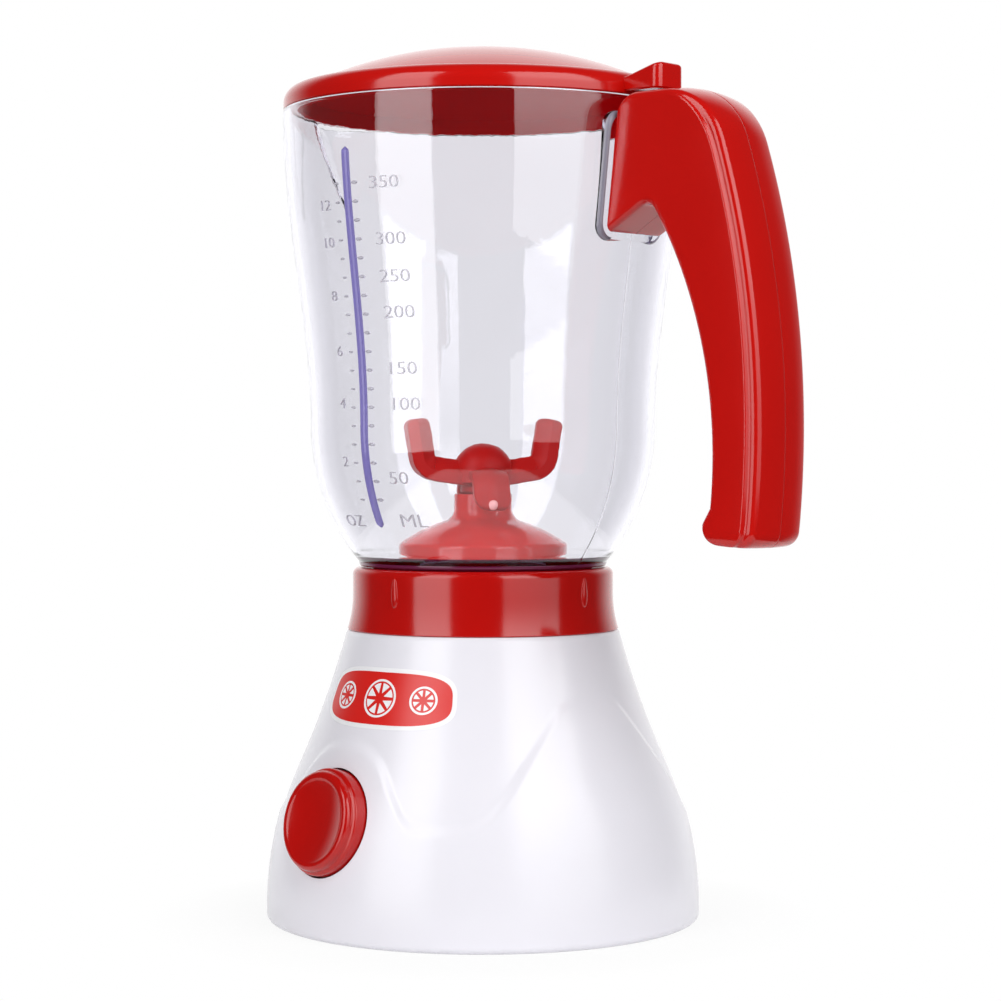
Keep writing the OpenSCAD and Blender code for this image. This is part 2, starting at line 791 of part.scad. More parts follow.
module motor_screws() {
    color(steel)
        for (s = [-1, 1])
            translate([s * 7, gear_reach, plate_top])
                mirror([0, 0, 1]) {
                    translate([0, 0, -0.6])
                        cylinder(r = 1.8, h = 0.6);
                    cylinder(r = 1, h = plate_t + 2.4);
                }
}

// The flanged bush in the deck
module spindle_bush() {
    color(brass)
        translate([0, 0, base_h - deck_t - 2])
            difference() {
                union() {
                    cylinder(r = 2 * shaft_r, h = deck_t + 3);
                    translate([0, 0, deck_t + 2])
                        cylinder(r = 3 * shaft_r, h = 1);
                }
                translate([0, 0, -1])
                    cylinder(r = shaft_hole, h = deck_t + 6);
            }
}

// The push switch on its bracket
module switch_body() {
    color(black)
        on_button()
            translate([0, 0, switch_w - switch_deep])
                difference() {
                    union() {
                        translate([-switch_size / 2, -switch_size / 2, 0])
                            cube([switch_size, switch_size, switch_deep]);
                        translate([-switch_size / 2 - 2.2, -1, 3])
                            cube([switch_size + 4.4, 2, 0.6]);
                    }
                    translate([0, 0, 0.6])
                        cylinder(r = plunger_r + shaft_fit, h = switch_deep);
                }
}

// Insulated leads from the cells to the switch and the motor
module lead_wires() {
    lead = 0.8;
    clear_of = lead + 0.15;
    tab_x = -bay_x + contact_t + clear_of;
    seat = switch_w - switch_deep + 3.3;
    switch_at = [0, button_y - seat * cos(button_tilt), button_h + seat * sin(button_tilt)];
    pin_x = switch_size / 2 + 2.2 + clear_of;
    cap_z = plate_z - motor_len - cap_t - 1.2;
    pin_m = motor_pin + 0.3 + clear_of;
    color(black) {
        tube([[tab_x, -cell_y, tab_top - 1], [tab_x, -cell_y, tab_top + 2],
            [tab_x + 2, -cell_y - 4, tab_top + 4], [-18, -24, tab_top + 4],
            turned(switch_at + [-pin_x - 2, 1, 2]), turned(switch_at + [-pin_x, 0, 0]),
            turned(switch_at + [-pin_x, 0, -1.5])], lead, 8);
        tube([turned(switch_at + [pin_x, 0, -1.5]), turned(switch_at + [pin_x, 0, 0]),
            turned(switch_at + [pin_x + 2, 2, 2]), [18, -12, cap_z + 3], [17, 2, cap_z],
            [13, gear_reach - 4, cap_z], [pin_m + 2, gear_reach, cap_z - 0.5],
            [pin_m, gear_reach, cap_z - 0.5]], lead, 8);
        tube([[tab_x, cell_y, tab_top - 1], [tab_x, cell_y, tab_top + 1],
            [tab_x + 2, cell_y + 2, cap_z + 0.6], [-18, gear_reach - 1, cap_z],
            [-pin_m - 2, gear_reach, cap_z - 0.5], [-pin_m, gear_reach, cap_z - 0.5]], lead, 8);
    }
}

// The dished push button with its guide skirt, catch flange and stem
module push_button() {
    rim = 1.8;
    face_r = button_r - rim;
    bowl = (pow(face_r, 2) + pow(dish, 2)) / (2 * dish);
    half = asin(face_r / bowl);
    color(red)
        on_button()
            difference() {
                rotate_extrude()
                    polygon(concat([[0, flange_w - flange_t], [flange_r, flange_w - flange_t],
                        [flange_r, flange_w], [button_r, flange_w]],
                        arc([face_r, button_out - rim], rim, 0, 90, 5),
                        rev(arc([0, button_out - dish + bowl], bowl, -90, -90 + half, 5))));
                difference() {
                    translate([0, 0, flange_w - flange_t - 1])
                        cylinder(r = button_r - 2, h = button_out - dish - 2 - flange_w + flange_t + 1);
                    translate([0, 0, stem_w])
                        cylinder(r = 3, h = button_out - stem_w);
                }
            }
}

module switch_plunger() {
    color(nylon)
        on_button()
            translate([0, 0, switch_w - 2.4])
                cylinder(r = plunger_r, h = stem_w - switch_w + 2.4);
}

// The upright spindle that carries gear and dog
module drive_spindle() {
    color(steel)
        translate([0, 0, plate_z])
            cylinder(r = shaft_r, h = dog_z - dog_gap - dog_tooth - 1 - plate_z);
}

module drive_gear() {
    color(nylon)
        translate([0, 0, gear_z])
            difference() {
                union() {
                    rotate(90)
                        linear_extrude(gear_t)
                            gear_outline(gear_teeth, 0.08);
                    cylinder(r = 2 * shaft_r, h = gear_t + 2);
                }
                translate([0, 0, -1])
                    cylinder(r = shaft_r + press, h = gear_t + 4);
            }
}

// Teeth of a dog: three sectors round the axis
module dog_teeth(height, first) {
    for (k = [0:2])
        rotate(first + 120 * k - dog_sweep / 2)
            rotate_extrude(angle = dog_sweep)
                translate([dog_bore, 0])
                    square([dog_r - dog_bore - 0.4, height]);
}

// The driving half of the coupling, in the collar's floor
module drive_dog() {
    hub_z = base_h + 1.6;
    top = dog_z - dog_gap - dog_tooth;
    color(white)
        difference() {
            union() {
                translate([0, 0, hub_z])
                    cylinder(r = dog_bore + 1, h = top - hub_z);
                translate([0, 0, top - 3])
                    cylinder(r = dog_r, h = 3);
                translate([0, 0, top - eps])
                    dog_teeth(dog_tooth + eps, 30);
            }
            translate([0, 0, hub_z - 1])
                cylinder(r = shaft_r + press, h = top - hub_z);
        }
}

module motor_shaft() {
    color(steel)
        translate([0, gear_reach, plate_z - motor_len + 0.4])
            cylinder(r = motor_shaft_r, h = motor_len + plate_t + gear_t + 1.3);
}

// The wound core that turns in the can
module motor_armature() {
    color(brass)
        translate([0, gear_reach, plate_z - motor_len + 5])
            difference() {
                cylinder(r = motor_flat / 2 - can_t - 0.6, h = motor_len - 12);
                translate([0, 0, -1])
                    cylinder(r = motor_shaft_r + press, h = motor_len);
            }
}

module motor_pinion() {
    color(brass)
        translate([0, gear_reach, gear_z])
            difference() {
                rotate(-90 + 180 / pinion_teeth)
                    linear_extrude(gear_t)
                        gear_outline(pinion_teeth, 0.08);
                translate([0, 0, -1])
                    cylinder(r = motor_shaft_r + press, h = gear_t + 2);
            }
}

// Solid of revolution of the jug's outside or, drawn in by the wall, of its inside
module jug_round(inset, from, to) {
    bowl = [for (i = [0:11]) let (z = from + (waist_z - from) * i / 12) [jug_r(z) - inset, z]];
    flare = [for (i = [0:14]) let (z = waist_z + (mouth_z - mouth_h - waist_z) * i / 14)
        [jug_r(z) - inset, z]];
    rotate_extrude()
        polygon(concat([[0, from]], bowl, flare, [[mouth_r - inset, to], [0, to]]));
}

// Outline of the handle's clear bracket, seen along +X from the axis
module bracket_outline(margin) {
    w = handle_w / 2 + margin;
    h = root_h - 4.5;
    r = 4;
    polygon(concat(arc([w - r, h - r], r, 0, 90, 4), arc([-w + r, h - r], r, 90, 180, 4),
        arc([-w + r, -margin + r], r, 180, 270, 4), arc([w - r, -margin + r], r, 270, 360, 4)));
}

// The clear jug: neck, bowl, flared wall, spout, measuring rib, handle bracket and tongue
module jug() {
    spout_x = mouth_r + spout_reach - spout_r;
    inner_neck = neck_r - 2.4;
    color(clear)
        difference() {
            union() {
                jug_round(0, foot_z + 1, mouth_z);
                translate([0, 0, foot_z])
                    cylinder(r = foot_r, h = 1 + eps);
                translate([0, 0, socket_z])
                    cylinder(r = neck_r, h = foot_z - socket_z + 1);
                translate([-spout_x, 0, mouth_z - spout_h])
                    cylinder(r1 = 0.2, r2 = spout_r, h = spout_h);
                rotate(-90 - rib_w / waist_r * 90 / PI)
                    rotate_extrude(angle = rib_w / waist_r * 180 / PI)
                        polygon(concat(
                            [for (i = [0:16]) let (z = foot_z + rib_from + (rib_to - rib_from) * i / 16)
                                [jug_r(z) + rib_t, z]],
                            [for (i = [16:-1:0]) let (z = foot_z + rib_from + (rib_to - rib_from) * i / 16)
                                [jug_r(z) - jug_wall / 2, z]]));
                translate([root_foot[0] - 0.1, 0, root_foot[1]])
                    rotate([0, root_lean, 0])
                        translate([-8, 0, 0])
                            rotate([90, 0, 90])
                                linear_extrude(8)
                                    bracket_outline(bracket_rim);
                translate([mouth_r - 4, -tongue_t / 2, tongue_z - tongue_h / 2])
                    cube([tongue_x - mouth_r + 4, tongue_t, tongue_h]);
            }
            jug_round(jug_wall, floor_z, mouth_z + 1);
            translate([-spout_x, 0, mouth_z - spout_h + 5])
                cylinder(r1 = 0.2, r2 = spout_r - jug_wall + 0.3, h = spout_h - 5 + eps);
            translate([-spout_x, 0, mouth_z])
                cylinder(r = spout_r, h = 5);
            translate([0, 0, foot_z - 20])
                cylinder(r = inner_neck, h = 20);
            translate([0, 0, foot_z - 1])
                cylinder(r = housing_neck_r + 0.1, h = jug_floor + 2);
            translate([handle_screws_at[0][0], 0, handle_screws_at[0][1]])
                rotate([90, 0, 0])
                    cylinder(r = screw_r + screw_fit, h = tongue_t + 2, center = true);
        }
}

// The bell-shaped bearing housing on the jug's floor, with its spigot through the floor
module blade_housing() {
    slope_from = [housing_r - 1.3, floor_z + housing_edge + 0.9];
    top = floor_z + housing_h;
    throat = 3.5;
    throat_turn = 63;
    throat_z = top - 3.4;
    color(red)
        difference() {
            rotate_extrude()
                polygon(concat([[0, spigot_z], [housing_neck_r, spigot_z], [housing_neck_r, floor_z],
                    [housing_r, floor_z], [housing_r, floor_z + housing_edge],
                    [housing_r - 0.4, floor_z + housing_edge + 0.55], slope_from],
                    rev(arc([housing_neck_r + throat, throat_z], throat, 180, 180 + throat_turn, 5)),
                    [[housing_neck_r, top], [0, top]]));
            translate([0, 0, spigot_z - 1])
                cylinder(r = shaft_hole, h = top - spigot_z + 2);
        }
}

// The snap ring that holds the housing's spigot under the jug's floor
module housing_ring() {
    color(nylon)
        translate([0, 0, foot_z - ring_t])
            difference() {
                cylinder(r = housing_neck_r + 4, h = ring_t);
                translate([0, 0, -1])
                    cylinder(r = housing_neck_r + press, h = ring_t + 2);
            }
}

// Pairs of inner and outer points down the handle's side view, from the root to the toe
toe_turn = 160;
handle_inner = concat(
    line(root_foot, crook_c - crook_r * under_down, 4),
    arc(crook_c, crook_r, 90 + root_slope, crook_turn, 6),
    arc(inner_c, inner_arc, crook_turn - 2, inner_end, 14),
    arc(toe_c, toe_r, toe_turn, toe_turn + 105, 6));
handle_outer = concat(
    line([root_x, handle_top], [corner_c[0], handle_top], 4),
    arc(corner_c, corner_r, 90, corner_turn + 10, 6),
    arc(outer_c, outer_arc, corner_turn, outer_end + 1, 14),
    arc(heel_c, heel_r, 5, -85, 6));
toe_steps = 6;
handle_steps = len(handle_inner);

// Half width of the handle at one step, drawn in at the toe
function half_width(k) = let (t = max(0, k - (handle_steps - toe_steps - 1)) / toe_steps)
    handle_w / 2 - grip_round * (1 - sqrt(1 - 0.8 * t * t));

// Half a cross-section: across from the inner to the outer edge, with rounded edges and a crowned back
function half_ring(k) =
    let (
        a = handle_inner[k],
        b = handle_outer[k],
        d = norm(b - a),
        u = (b - a) / d,
        w = half_width(k),
        r = min(grip_round, 0.4 * d),
        inner = arc([0.6 * r, w - 0.6 * r], 0.6 * r, 180, 90, 3),
        outer = arc([d - grip_crown - r, w - r], r, 90, 10, 4),
        flat = concat([[0, 0]], inner, outer, [[d - 0.25 * grip_crown, 0.4 * w], [d, 0]])
    ) [for (p = flat) [a[0] + u[0] * p[0], p[1], a[1] + u[1] * p[0]]];

// The hollow inside half a cross-section
function hollow_ring(k) =
    let (
        a = handle_inner[k],
        b = handle_outer[k],
        d = norm(b - a),
        u = (b - a) / d,
        w = half_width(k) - handle_wall,
        flat = [[handle_wall, 0], [handle_wall, w - 1], [handle_wall + 1, w], [d - handle_wall - 2, w],
            [d - handle_wall - 0.8, w - 2], [d - handle_wall - 0.4, 0]]
    ) [for (p = flat) [a[0] + u[0] * p[0], p[1], a[1] + u[1] * p[0]]];

// One half of the handle as a thin moulding, open to the root and to its mating face
module handle_shell() {
    shut = handle_steps - toe_steps - 2;
    out = [for (k = [0:handle_steps - 1]) half_ring(k)];
    hollow = [for (k = [0:shut]) hollow_ring(k)];
    n = len(out[0]);
    m = len(hollow[0]);
    h0 = handle_steps * n;
    end = (handle_steps - 1) * n;
    skin = [for (i = [0:handle_steps - 2], j = [0:n - 2]) let (a = i * n + j)
        each [[a, a + n, a + n + 1], [a, a + n + 1, a + 1]]];
    lining = [for (i = [0:shut - 1], j = [0:m - 2]) let (a = h0 + i * m + j)
        each [[a, a + m + 1, a + m], [a, a + 1, a + m + 1]]];
    rims = [for (i = [0:shut - 1]) each [
        [i * n, h0 + i * m, h0 + (i + 1) * m],
        [i * n, h0 + (i + 1) * m, (i + 1) * n],
        [i * n + n - 1, (i + 1) * n + n - 1, h0 + (i + 1) * m + m - 1],
        [i * n + n - 1, h0 + (i + 1) * m + m - 1, h0 + i * m + m - 1]]];
    mating = [for (i = [shut + 1:handle_steps - 2]) each [
        [i * n, i * n + n - 1, (i + 1) * n + n - 1], [i * n, (i + 1) * n + n - 1, (i + 1) * n]]];
    fan = [shut * n, h0 + shut * m, h0 + shut * m + m - 1, shut * n + n - 1, (shut + 1) * n + n - 1];
    joint = [for (j = [0:3]) [(shut + 1) * n, fan[j], fan[j + 1]]];
    near = [0, 1, 1, 1, 2, 3, 3, 4, 4, 4, 5, 5];
    root_face = [for (j = [0:n - 2]) each concat([[j, j + 1, h0 + near[j + 1]]],
        near[j] == near[j + 1] ? [] : [[j, h0 + near[j + 1], h0 + near[j]]])];
    hollow_end = [[for (j = [0:m - 1]) h0 + shut * m + j]];
    toe_face = [[for (j = [n - 1:-1:0]) end + j]];
    polyhedron([for (ring = concat(out, hollow)) each ring],
        concat(skin, lining, rims, mating, joint, root_face, hollow_end, toe_face));
}

// Places its children at one of the handle's screws, pointing to +Y
module at_screw(k) {
    translate([handle_screws_at[k][0], 0, handle_screws_at[k][1]])
        rotate([-90, 0, 0])
            children();
}

// Mating faces of the screw bosses: against the tongue at the root, at mid width in the grip
function boss_end(k) = k == 0 ? tongue_t / 2 + 0.2 : 0;

module handle_front_half() {
    color(red)
        difference() {
            union() {
                mirror([0, 1, 0])
                    handle_shell();
                for (k = [0, 1])
                    at_screw(k)
                        translate([0, 0, -handle_w / 2 + handle_wall / 2])
                            cylinder(r = boss_r, h = handle_w / 2 - handle_wall / 2 - boss_end(k));
            }
            for (k = [0, 1])
                at_screw(k)
                    translate([0, 0, -handle_w / 2 + handle_wall])
                        cylinder(r = screw_r + screw_fit, h = handle_w / 2);
        }
}

module handle_rear_half() {
    color(red)
        difference() {
            union() {
                handle_shell();
                for (k = [0, 1])
                    at_screw(k)
                        translate([0, 0, boss_end(k)])
                            cylinder(r = boss_r, h = handle_w / 2 - handle_wall / 2 - boss_end(k));
            }
            for (k = [0, 1])
                at_screw(k) {
                    translate([0, 0, -1])
                        cylinder(r = screw_r + screw_fit, h = handle_w);
                    translate([0, 0, handle_w / 2 - screw_sink])
                        cylinder(r = head_r + screw_fit, h = screw_sink + 1);
                }
        }
}

module handle_screws() {
    color(steel)
        for (k = [0, 1])
            at_screw(k)
                translate([0, 0, handle_w / 2 - screw_sink])
                    mirror([0, 0, 1])
                        screw(handle_w - screw_sink - handle_wall - 0.5);
}

// One arm of the blade along +X, as a bevelled strip through points in its own side view,
// with the leading corner of its tip rounded off
module arm(path, edge_t, ridge, lead) {
    count = len(path);
    rings = [for (i = [0:count - 1])
        let (
            ahead = path[min(i + 1, count - 1)] - path[max(i - 1, 0)],
            t = ahead / norm(ahead),
            up = [-t[1], t[0]],
            w = arm_w / 2,
            short = max(0, lead - norm(path[count - 1] - path[i])),
            front = -w + lead - sqrt(pow(lead, 2) - pow(min(short, 0.95 * lead), 2)),
            flat = [[0, front], [edge_t, front], [edge_t + ridge, max(front + 0.1, -0.3 * w)],
                [edge_t + ridge, 0.3 * w], [edge_t, w], [0, w]]
        ) [for (p = flat) [path[i][0] + up[0] * p[0], p[1], path[i][1] + up[1] * p[0]]]];
    loft(rings);
}

// The four-armed blade: two arms turned up and two turned down
module blade() {
    hub_z = floor_z + housing_h + hub_gap;
    rise = tan(arm_rise);
    arm_z = hub_z + hub_neck_h - hub_r * rise;
    bend = arm_t + arm_ridge + 0.5;
    up_x = blade_span - bend - 0.5;
    up_c = [up_x, arm_z + up_x * rise + bend - 0.6];
    down_z = hub_z + hub_neck_h + 0.8;
    drop = 5;
    knee = 8;
    down_tip = [knee + drop + 0.3, down_z - tip_down];
    color(red)
        rotate(blade_turn)
            difference() {
                union() {
                    translate([0, 0, hub_z])
                        cylinder(r = hub_neck_r, h = hub_h);
                    translate([0, 0, hub_z + hub_neck_h])
                        cylinder(r = hub_r, h = hub_h - hub_neck_h);
                    translate([0, 0, hub_z + hub_h - 1])
                        intersection() {
                            sphere(r = hub_r);
                            cylinder(r = hub_r + 1, h = hub_r + 1);
                        }
                    for (a = [90, 270])
                        rotate(a)
                            arm(concat([[2, arm_z + 2 * rise]], arc(up_c, bend, -90 + arm_rise, -5, 6),
                                [[blade_span + 0.2, arm_z + tip_up]]), arm_t, arm_ridge, 1);
                    for (a = [0, 180])
                        rotate(a)
                            arm(concat([[2, down_z]], arc([knee, down_z - drop], drop, 80, 5, 6),
                                line(down_tip + [0, 0.5 * tip_lead], down_tip, 4), [down_tip]),
                                0.7 * arm_t, 0.3 * arm_ridge, tip_lead);
                }
                translate([0, 0, hub_z - 1])
                    cylinder(r = shaft_r + press, h = hub_h + 2);
            }
}

// The steel shaft through the housing
module blade_shaft() {
    color(steel)
        translate([0, 0, dog_z])
            cylinder(r = shaft_r, h = floor_z + housing_h + hub_gap + hub_h - dog_z);
}

// The driven half of the coupling, under the jug's floor
module driven_dog() {
    color(white)
        difference() {
            union() {
                translate([0, 0, dog_z])
                    cylinder(r = dog_r, h = dog_disc);
                translate([0, 0, dog_z - dog_tooth])
                    dog_teeth(dog_tooth + eps, 90);
            }
            translate([0, 0, dog_z - 1])
                cylinder(r = shaft_r + press, h = dog_disc + 2);
        }
}

// The lid: rim band, plug, low dome and thumb tab
module lid() {
    plug_r = mouth_r - jug_wall - plug_gap;
    band_top = mouth_z + rim_h;
    sag = lid_h - rim_h;
    dome = (pow(dome_r, 2) + pow(sag, 2)) / (2 * sag);
    dome_c = [0, mouth_z + lid_h - dome];
    half = asin(dome_r / dome);
    hollow = dome - lid_wall;
    hollow_half = asin((plug_r - lid_wall) / hollow);
    tab_z = handle_top + tab_gap;
    color(red)
        union() {
            rotate_extrude()
                polygon(concat([[plug_r, mouth_z], [lid_r, mouth_z]],
                    arc([lid_r - rim_round, band_top - rim_round], rim_round, 0, 90, 6),
                    arc(dome_c, dome, 90 - half, 90, 10),
                    rev(arc(dome_c, hollow, 90 - hollow_half, 90, 8)),
                    [[plug_r - lid_wall, mouth_z - plug_depth], [plug_r, mouth_z - plug_depth]]));
            intersection() {
                rotate([90, 0, 0])
                    linear_extrude(tab_w + 2, center = true)
                        polygon([[lid_r - rim_round, tab_z], [lid_r + tab_len, tab_z],
                            [lid_r + tab_len, tab_z + tab_h], [lid_r + tab_len - 2, tab_z + tab_h],
                            [lid_r, tab_z + tab_root_h], [lid_r - rim_round, tab_z + tab_root_h - 0.6]]);
                linear_extrude(2 * mouth_z)
                    polygon(concat([[lid_r - rim_round, tab_w / 2], [lid_r - rim_round, -tab_w / 2]],
                        arc([lid_r + tab_len - 2, -tab_w / 2 + 2], 2, -90, 0, 4),
                        arc([lid_r + tab_len - 2, tab_w / 2 - 2], 2, 0, 90, 4)));
            }
        }
}

base_shell();
collar();
collar_screws();
bottom_plate();
bottom_screws();
battery_door();
battery_door_screw();
battery_cells();
battery_springs();
battery_contacts();
gear_plate();
gear_plate_screws();
motor_can();
motor_end_cap();
motor_screws();
spindle_bush();
switch_body();
lead_wires();
push_button();
switch_plunger();
drive_spindle();
drive_gear();
drive_dog();
motor_shaft();
motor_armature();
motor_pinion();
jug();
blade_housing();
housing_ring();
handle_front_half();
handle_rear_half();
handle_screws();
blade();
blade_shaft();
driven_dog();
lid();
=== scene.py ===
from math import asin, atan2, copysign, cos, degrees, dist, pi, radians, sin, sqrt, tan

import bmesh
import bpy
import numpy as np
from mathutils import Matrix, Vector


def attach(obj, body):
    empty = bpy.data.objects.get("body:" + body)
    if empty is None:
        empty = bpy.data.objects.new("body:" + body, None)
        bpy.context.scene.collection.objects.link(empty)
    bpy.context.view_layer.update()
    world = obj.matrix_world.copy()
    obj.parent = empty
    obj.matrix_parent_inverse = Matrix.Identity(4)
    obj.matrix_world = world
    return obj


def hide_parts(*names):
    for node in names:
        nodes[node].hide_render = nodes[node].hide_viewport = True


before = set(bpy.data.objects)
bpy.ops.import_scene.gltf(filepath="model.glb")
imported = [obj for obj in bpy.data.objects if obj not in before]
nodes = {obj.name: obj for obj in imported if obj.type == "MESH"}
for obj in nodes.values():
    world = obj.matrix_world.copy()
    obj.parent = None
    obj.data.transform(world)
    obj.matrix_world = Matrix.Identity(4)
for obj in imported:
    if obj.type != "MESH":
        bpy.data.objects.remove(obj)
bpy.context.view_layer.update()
scene = bpy.context.scene

# Studio. A pale board floor under the toy, two tall soft boxes beside the camera and a bright
# backdrop behind. The board keeps the soft shadow around the foot of the base.
scene.view_settings.view_transform = "Standard"
CAMERA_AZIMUTH = radians(42)
CAMERA_REACH = 0.66575
CAMERA_HEIGHT = 0.1173
CAMERA_YAW = radians(0.3765)
CAMERA_PITCH = radians(1.151)
LAMP_FADE = (0.05, 0.45)
BACKDROP_FADE = (0.42, 0.85)
ROOM_LIGHT, BACKDROP_LIGHT = 0.07, 1.2
CLEAR_LIGHT = 0.1
NO_BOUNCE = 0.5
PURE_WHITE = (1, 1, 1, 1)
FLOOR_RINGS = (0.2, 0.4, 0.7, 1.0)
FLOOR_HALF = (0.17, 0.3)
FLOOR_CORNER = 0.4
FLOOR_SIDES = 64
FLOOR_GREY = (0.9, 0.9, 0.9, 1)
PAINT_FADE = (0.055, 0.085)
PAINT_GLOW = (0.9, 1.0)
BACK = Vector((-sin(CAMERA_AZIMUTH), cos(CAMERA_AZIMUTH), 0))
ACROSS = Vector((cos(CAMERA_AZIMUTH), sin(CAMERA_AZIMUTH), 0))


def add_object(name, data):
    """Adds an object to the scene."""
    thing = bpy.data.objects.new(name, data)
    scene.collection.objects.link(thing)
    return thing


camera = add_object("studio_camera", bpy.data.cameras.new("studio_camera"))
camera.data.sensor_width = 36
camera.data.lens = 95.77
camera.data.clip_start = 0.01
camera.data.clip_end = 60
ahead = BACK * cos(CAMERA_YAW) + ACROSS * sin(CAMERA_YAW)
look = ahead * cos(CAMERA_PITCH) - Vector((0, 0, sin(CAMERA_PITCH)))
side = ahead.cross(Vector((0, 0, 1))).normalized()
camera.matrix_world = Matrix.Translation(Vector((0, 0, CAMERA_HEIGHT)) - BACK * CAMERA_REACH) @ Matrix(
    (side, side.cross(look), -look)).transposed().to_4x4()
scene.camera = camera


def feed(node, inputs):
    """Gives inputs of a shader node a value, an output or the first output of another node."""
    for socket, given in inputs.items():
        if isinstance(given, bpy.types.Node):
            given = given.outputs[0]
        if isinstance(given, bpy.types.NodeSocket):
            node.id_data.links.new(given, node.inputs[socket])
        else:
            node.inputs[socket].default_value = given


def add_node(tree, kind, inputs=None, **settings):
    """Adds a shader node with its settings and what its inputs take."""
    node = tree.nodes.new("ShaderNode" + kind)
    for name, setting in settings.items():
        setattr(node, name, setting)
    feed(node, inputs or {})
    return node


def reckon(tree, operation, a, b):
    """One sum of two values or outputs."""
    return add_node(tree, "Math", {0: a, 1: b}, operation=operation)


def fade(tree, value, start, end, low, high, kind="SMOOTHSTEP"):
    """A level that goes from low to high while a value goes from start to end."""
    return add_node(tree, "MapRange", {"Value": value, "From Min": start, "From Max": end,
                                       "To Min": low, "To Max": high}, interpolation_type=kind)


def soft_box(name, turn, reach, low, tall, wide, low_radiance, radiance):
    """A tall lamp turned about the toy from the camera's side, dimmer towards its lower edge."""
    lamp = bpy.data.lights.new(name, "AREA")
    lamp.shape = "RECTANGLE"
    lamp.size = wide
    lamp.size_y = tall
    lamp.energy = radiance * pi * wide * tall
    lamp.use_nodes = True
    glow = lamp.node_tree
    spot = add_node(glow, "NewGeometry").outputs["Parametric"]
    up = add_node(glow, "SeparateXYZ", {"Vector": spot}).outputs["Y"]
    feed(glow.nodes["Emission"], {"Strength": fade(glow, up, *LAMP_FADE, low_radiance / radiance, 1.0)})
    stand = add_object(name, lamp)
    azimuth = CAMERA_AZIMUTH + radians(turn)
    place = Vector((sin(azimuth) * reach, -cos(azimuth) * reach, low + tall / 2))
    stand.location = place
    stand.rotation_euler = Vector((-place.x, -place.y, 0)).to_track_quat("-Z", "Y").to_euler()


soft_box("left_soft_box", turn=-45, reach=1.0, low=-0.1, tall=1.65, wide=0.6,
         low_radiance=2.7, radiance=3.8)
soft_box("right_soft_box", turn=43, reach=1.0, low=-0.015, tall=1.565, wide=0.96,
         low_radiance=1.4, radiance=3.9)

world = bpy.data.worlds.new("studio_world")
world.use_nodes = True
scene.world = world
sky = world.node_tree
sky.nodes.clear()
rays = add_node(sky, "LightPath").outputs
heading = add_node(sky, "TexCoord").outputs["Generated"]
backward = add_node(sky, "VectorMath", {0: heading, 1: BACK}, operation="DOT_PRODUCT").outputs["Value"]
backdrop = fade(sky, backward, *BACKDROP_FADE, ROOM_LIGHT, BACKDROP_LIGHT)
undiffused = reckon(sky, "LESS_THAN", rays["Diffuse Depth"], NO_BOUNCE)
in_clear = reckon(sky, "MULTIPLY", rays["Is Transmission Ray"], undiffused)
room_light = reckon(sky, "MAXIMUM", backdrop, reckon(sky, "MULTIPLY", in_clear, CLEAR_LIGHT))
bounces = reckon(sky, "ADD", rays["Diffuse Depth"], rays["Glossy Depth"])
unbounced = reckon(sky, "LESS_THAN", bounces, NO_BOUNCE)
straight_through = reckon(sky, "MULTIPLY", rays["Is Transmission Ray"], unbounced)
seen = reckon(sky, "MAXIMUM", rays["Is Camera Ray"], straight_through)
room = add_node(sky, "Background", {"Color": PURE_WHITE, "Strength": room_light})
plain_white = add_node(sky, "Background", {"Color": PURE_WHITE})
sky_shown = add_node(sky, "MixShader", {"Fac": seen, 1: room, 2: plain_white})
add_node(sky, "OutputWorld", {"Surface": sky_shown})

floor_points = [(0, 0, 0)]
floor_faces = []
for ring, radius in enumerate(FLOOR_RINGS):
    for k in range(FLOOR_SIDES):
        turn = 2 * pi * k / FLOOR_SIDES
        u = FLOOR_HALF[0] * radius * copysign(abs(cos(turn)) ** FLOOR_CORNER, cos(turn))
        v = FLOOR_HALF[1] * radius * copysign(abs(sin(turn)) ** FLOOR_CORNER, sin(turn))
        floor_points.append(ACROSS * u + BACK * v)
        here = 1 + ring * FLOOR_SIDES + k
        after = 1 + ring * FLOOR_SIDES + (k + 1) % FLOOR_SIDES
        if ring:
            floor_faces.append((here - FLOOR_SIDES, here, after, after - FLOOR_SIDES))
        else:
            floor_faces.append((0, here, after))
floor_mesh = bpy.data.meshes.new("studio_floor")
floor_mesh.from_pydata(floor_points, [], floor_faces)
floor = add_object("studio_floor", floor_mesh)

floor_paint = bpy.data.materials.new("floor_paint")
floor_paint.use_nodes = True
paint = floor_paint.node_tree
paint.nodes.clear()
rays = add_node(paint, "LightPath").outputs
spot = add_node(paint, "TexCoord").outputs["Object"]
far = add_node(paint, "VectorMath", {0: spot}, operation="LENGTH").outputs["Value"]
level = fade(paint, far, *PAINT_FADE, *PAINT_GLOW, kind="LINEAR")
eye = reckon(paint, "MAXIMUM", rays["Is Camera Ray"], rays["Is Glossy Ray"])
seen = reckon(paint, "MAXIMUM", eye, rays["Is Transmission Ray"])
matt = add_node(paint, "BsdfDiffuse", {"Color": FLOOR_GREY})
glow = add_node(paint, "Emission")
paint_shown = add_node(paint, "MixShader", {"Fac": reckon(paint, "MULTIPLY", seen, level), 1: matt, 2: glow})
add_node(paint, "OutputMaterial", {"Surface": paint_shown})
floor_paint.cycles.emission_sampling = "NONE"
floor.data.materials.append(floor_paint)

# Bottom plate and battery door. White moulded covers under the base, with four screws in the plate
# and one in the door, and the two cells, coil contacts and contact plates behind the door.
WHITE = (0.775, 0.765, 0.82)
FLOW_SIZE = 60
GLOSS_DRIFT = 0.05
GRAIN_DEEP = 0.0001


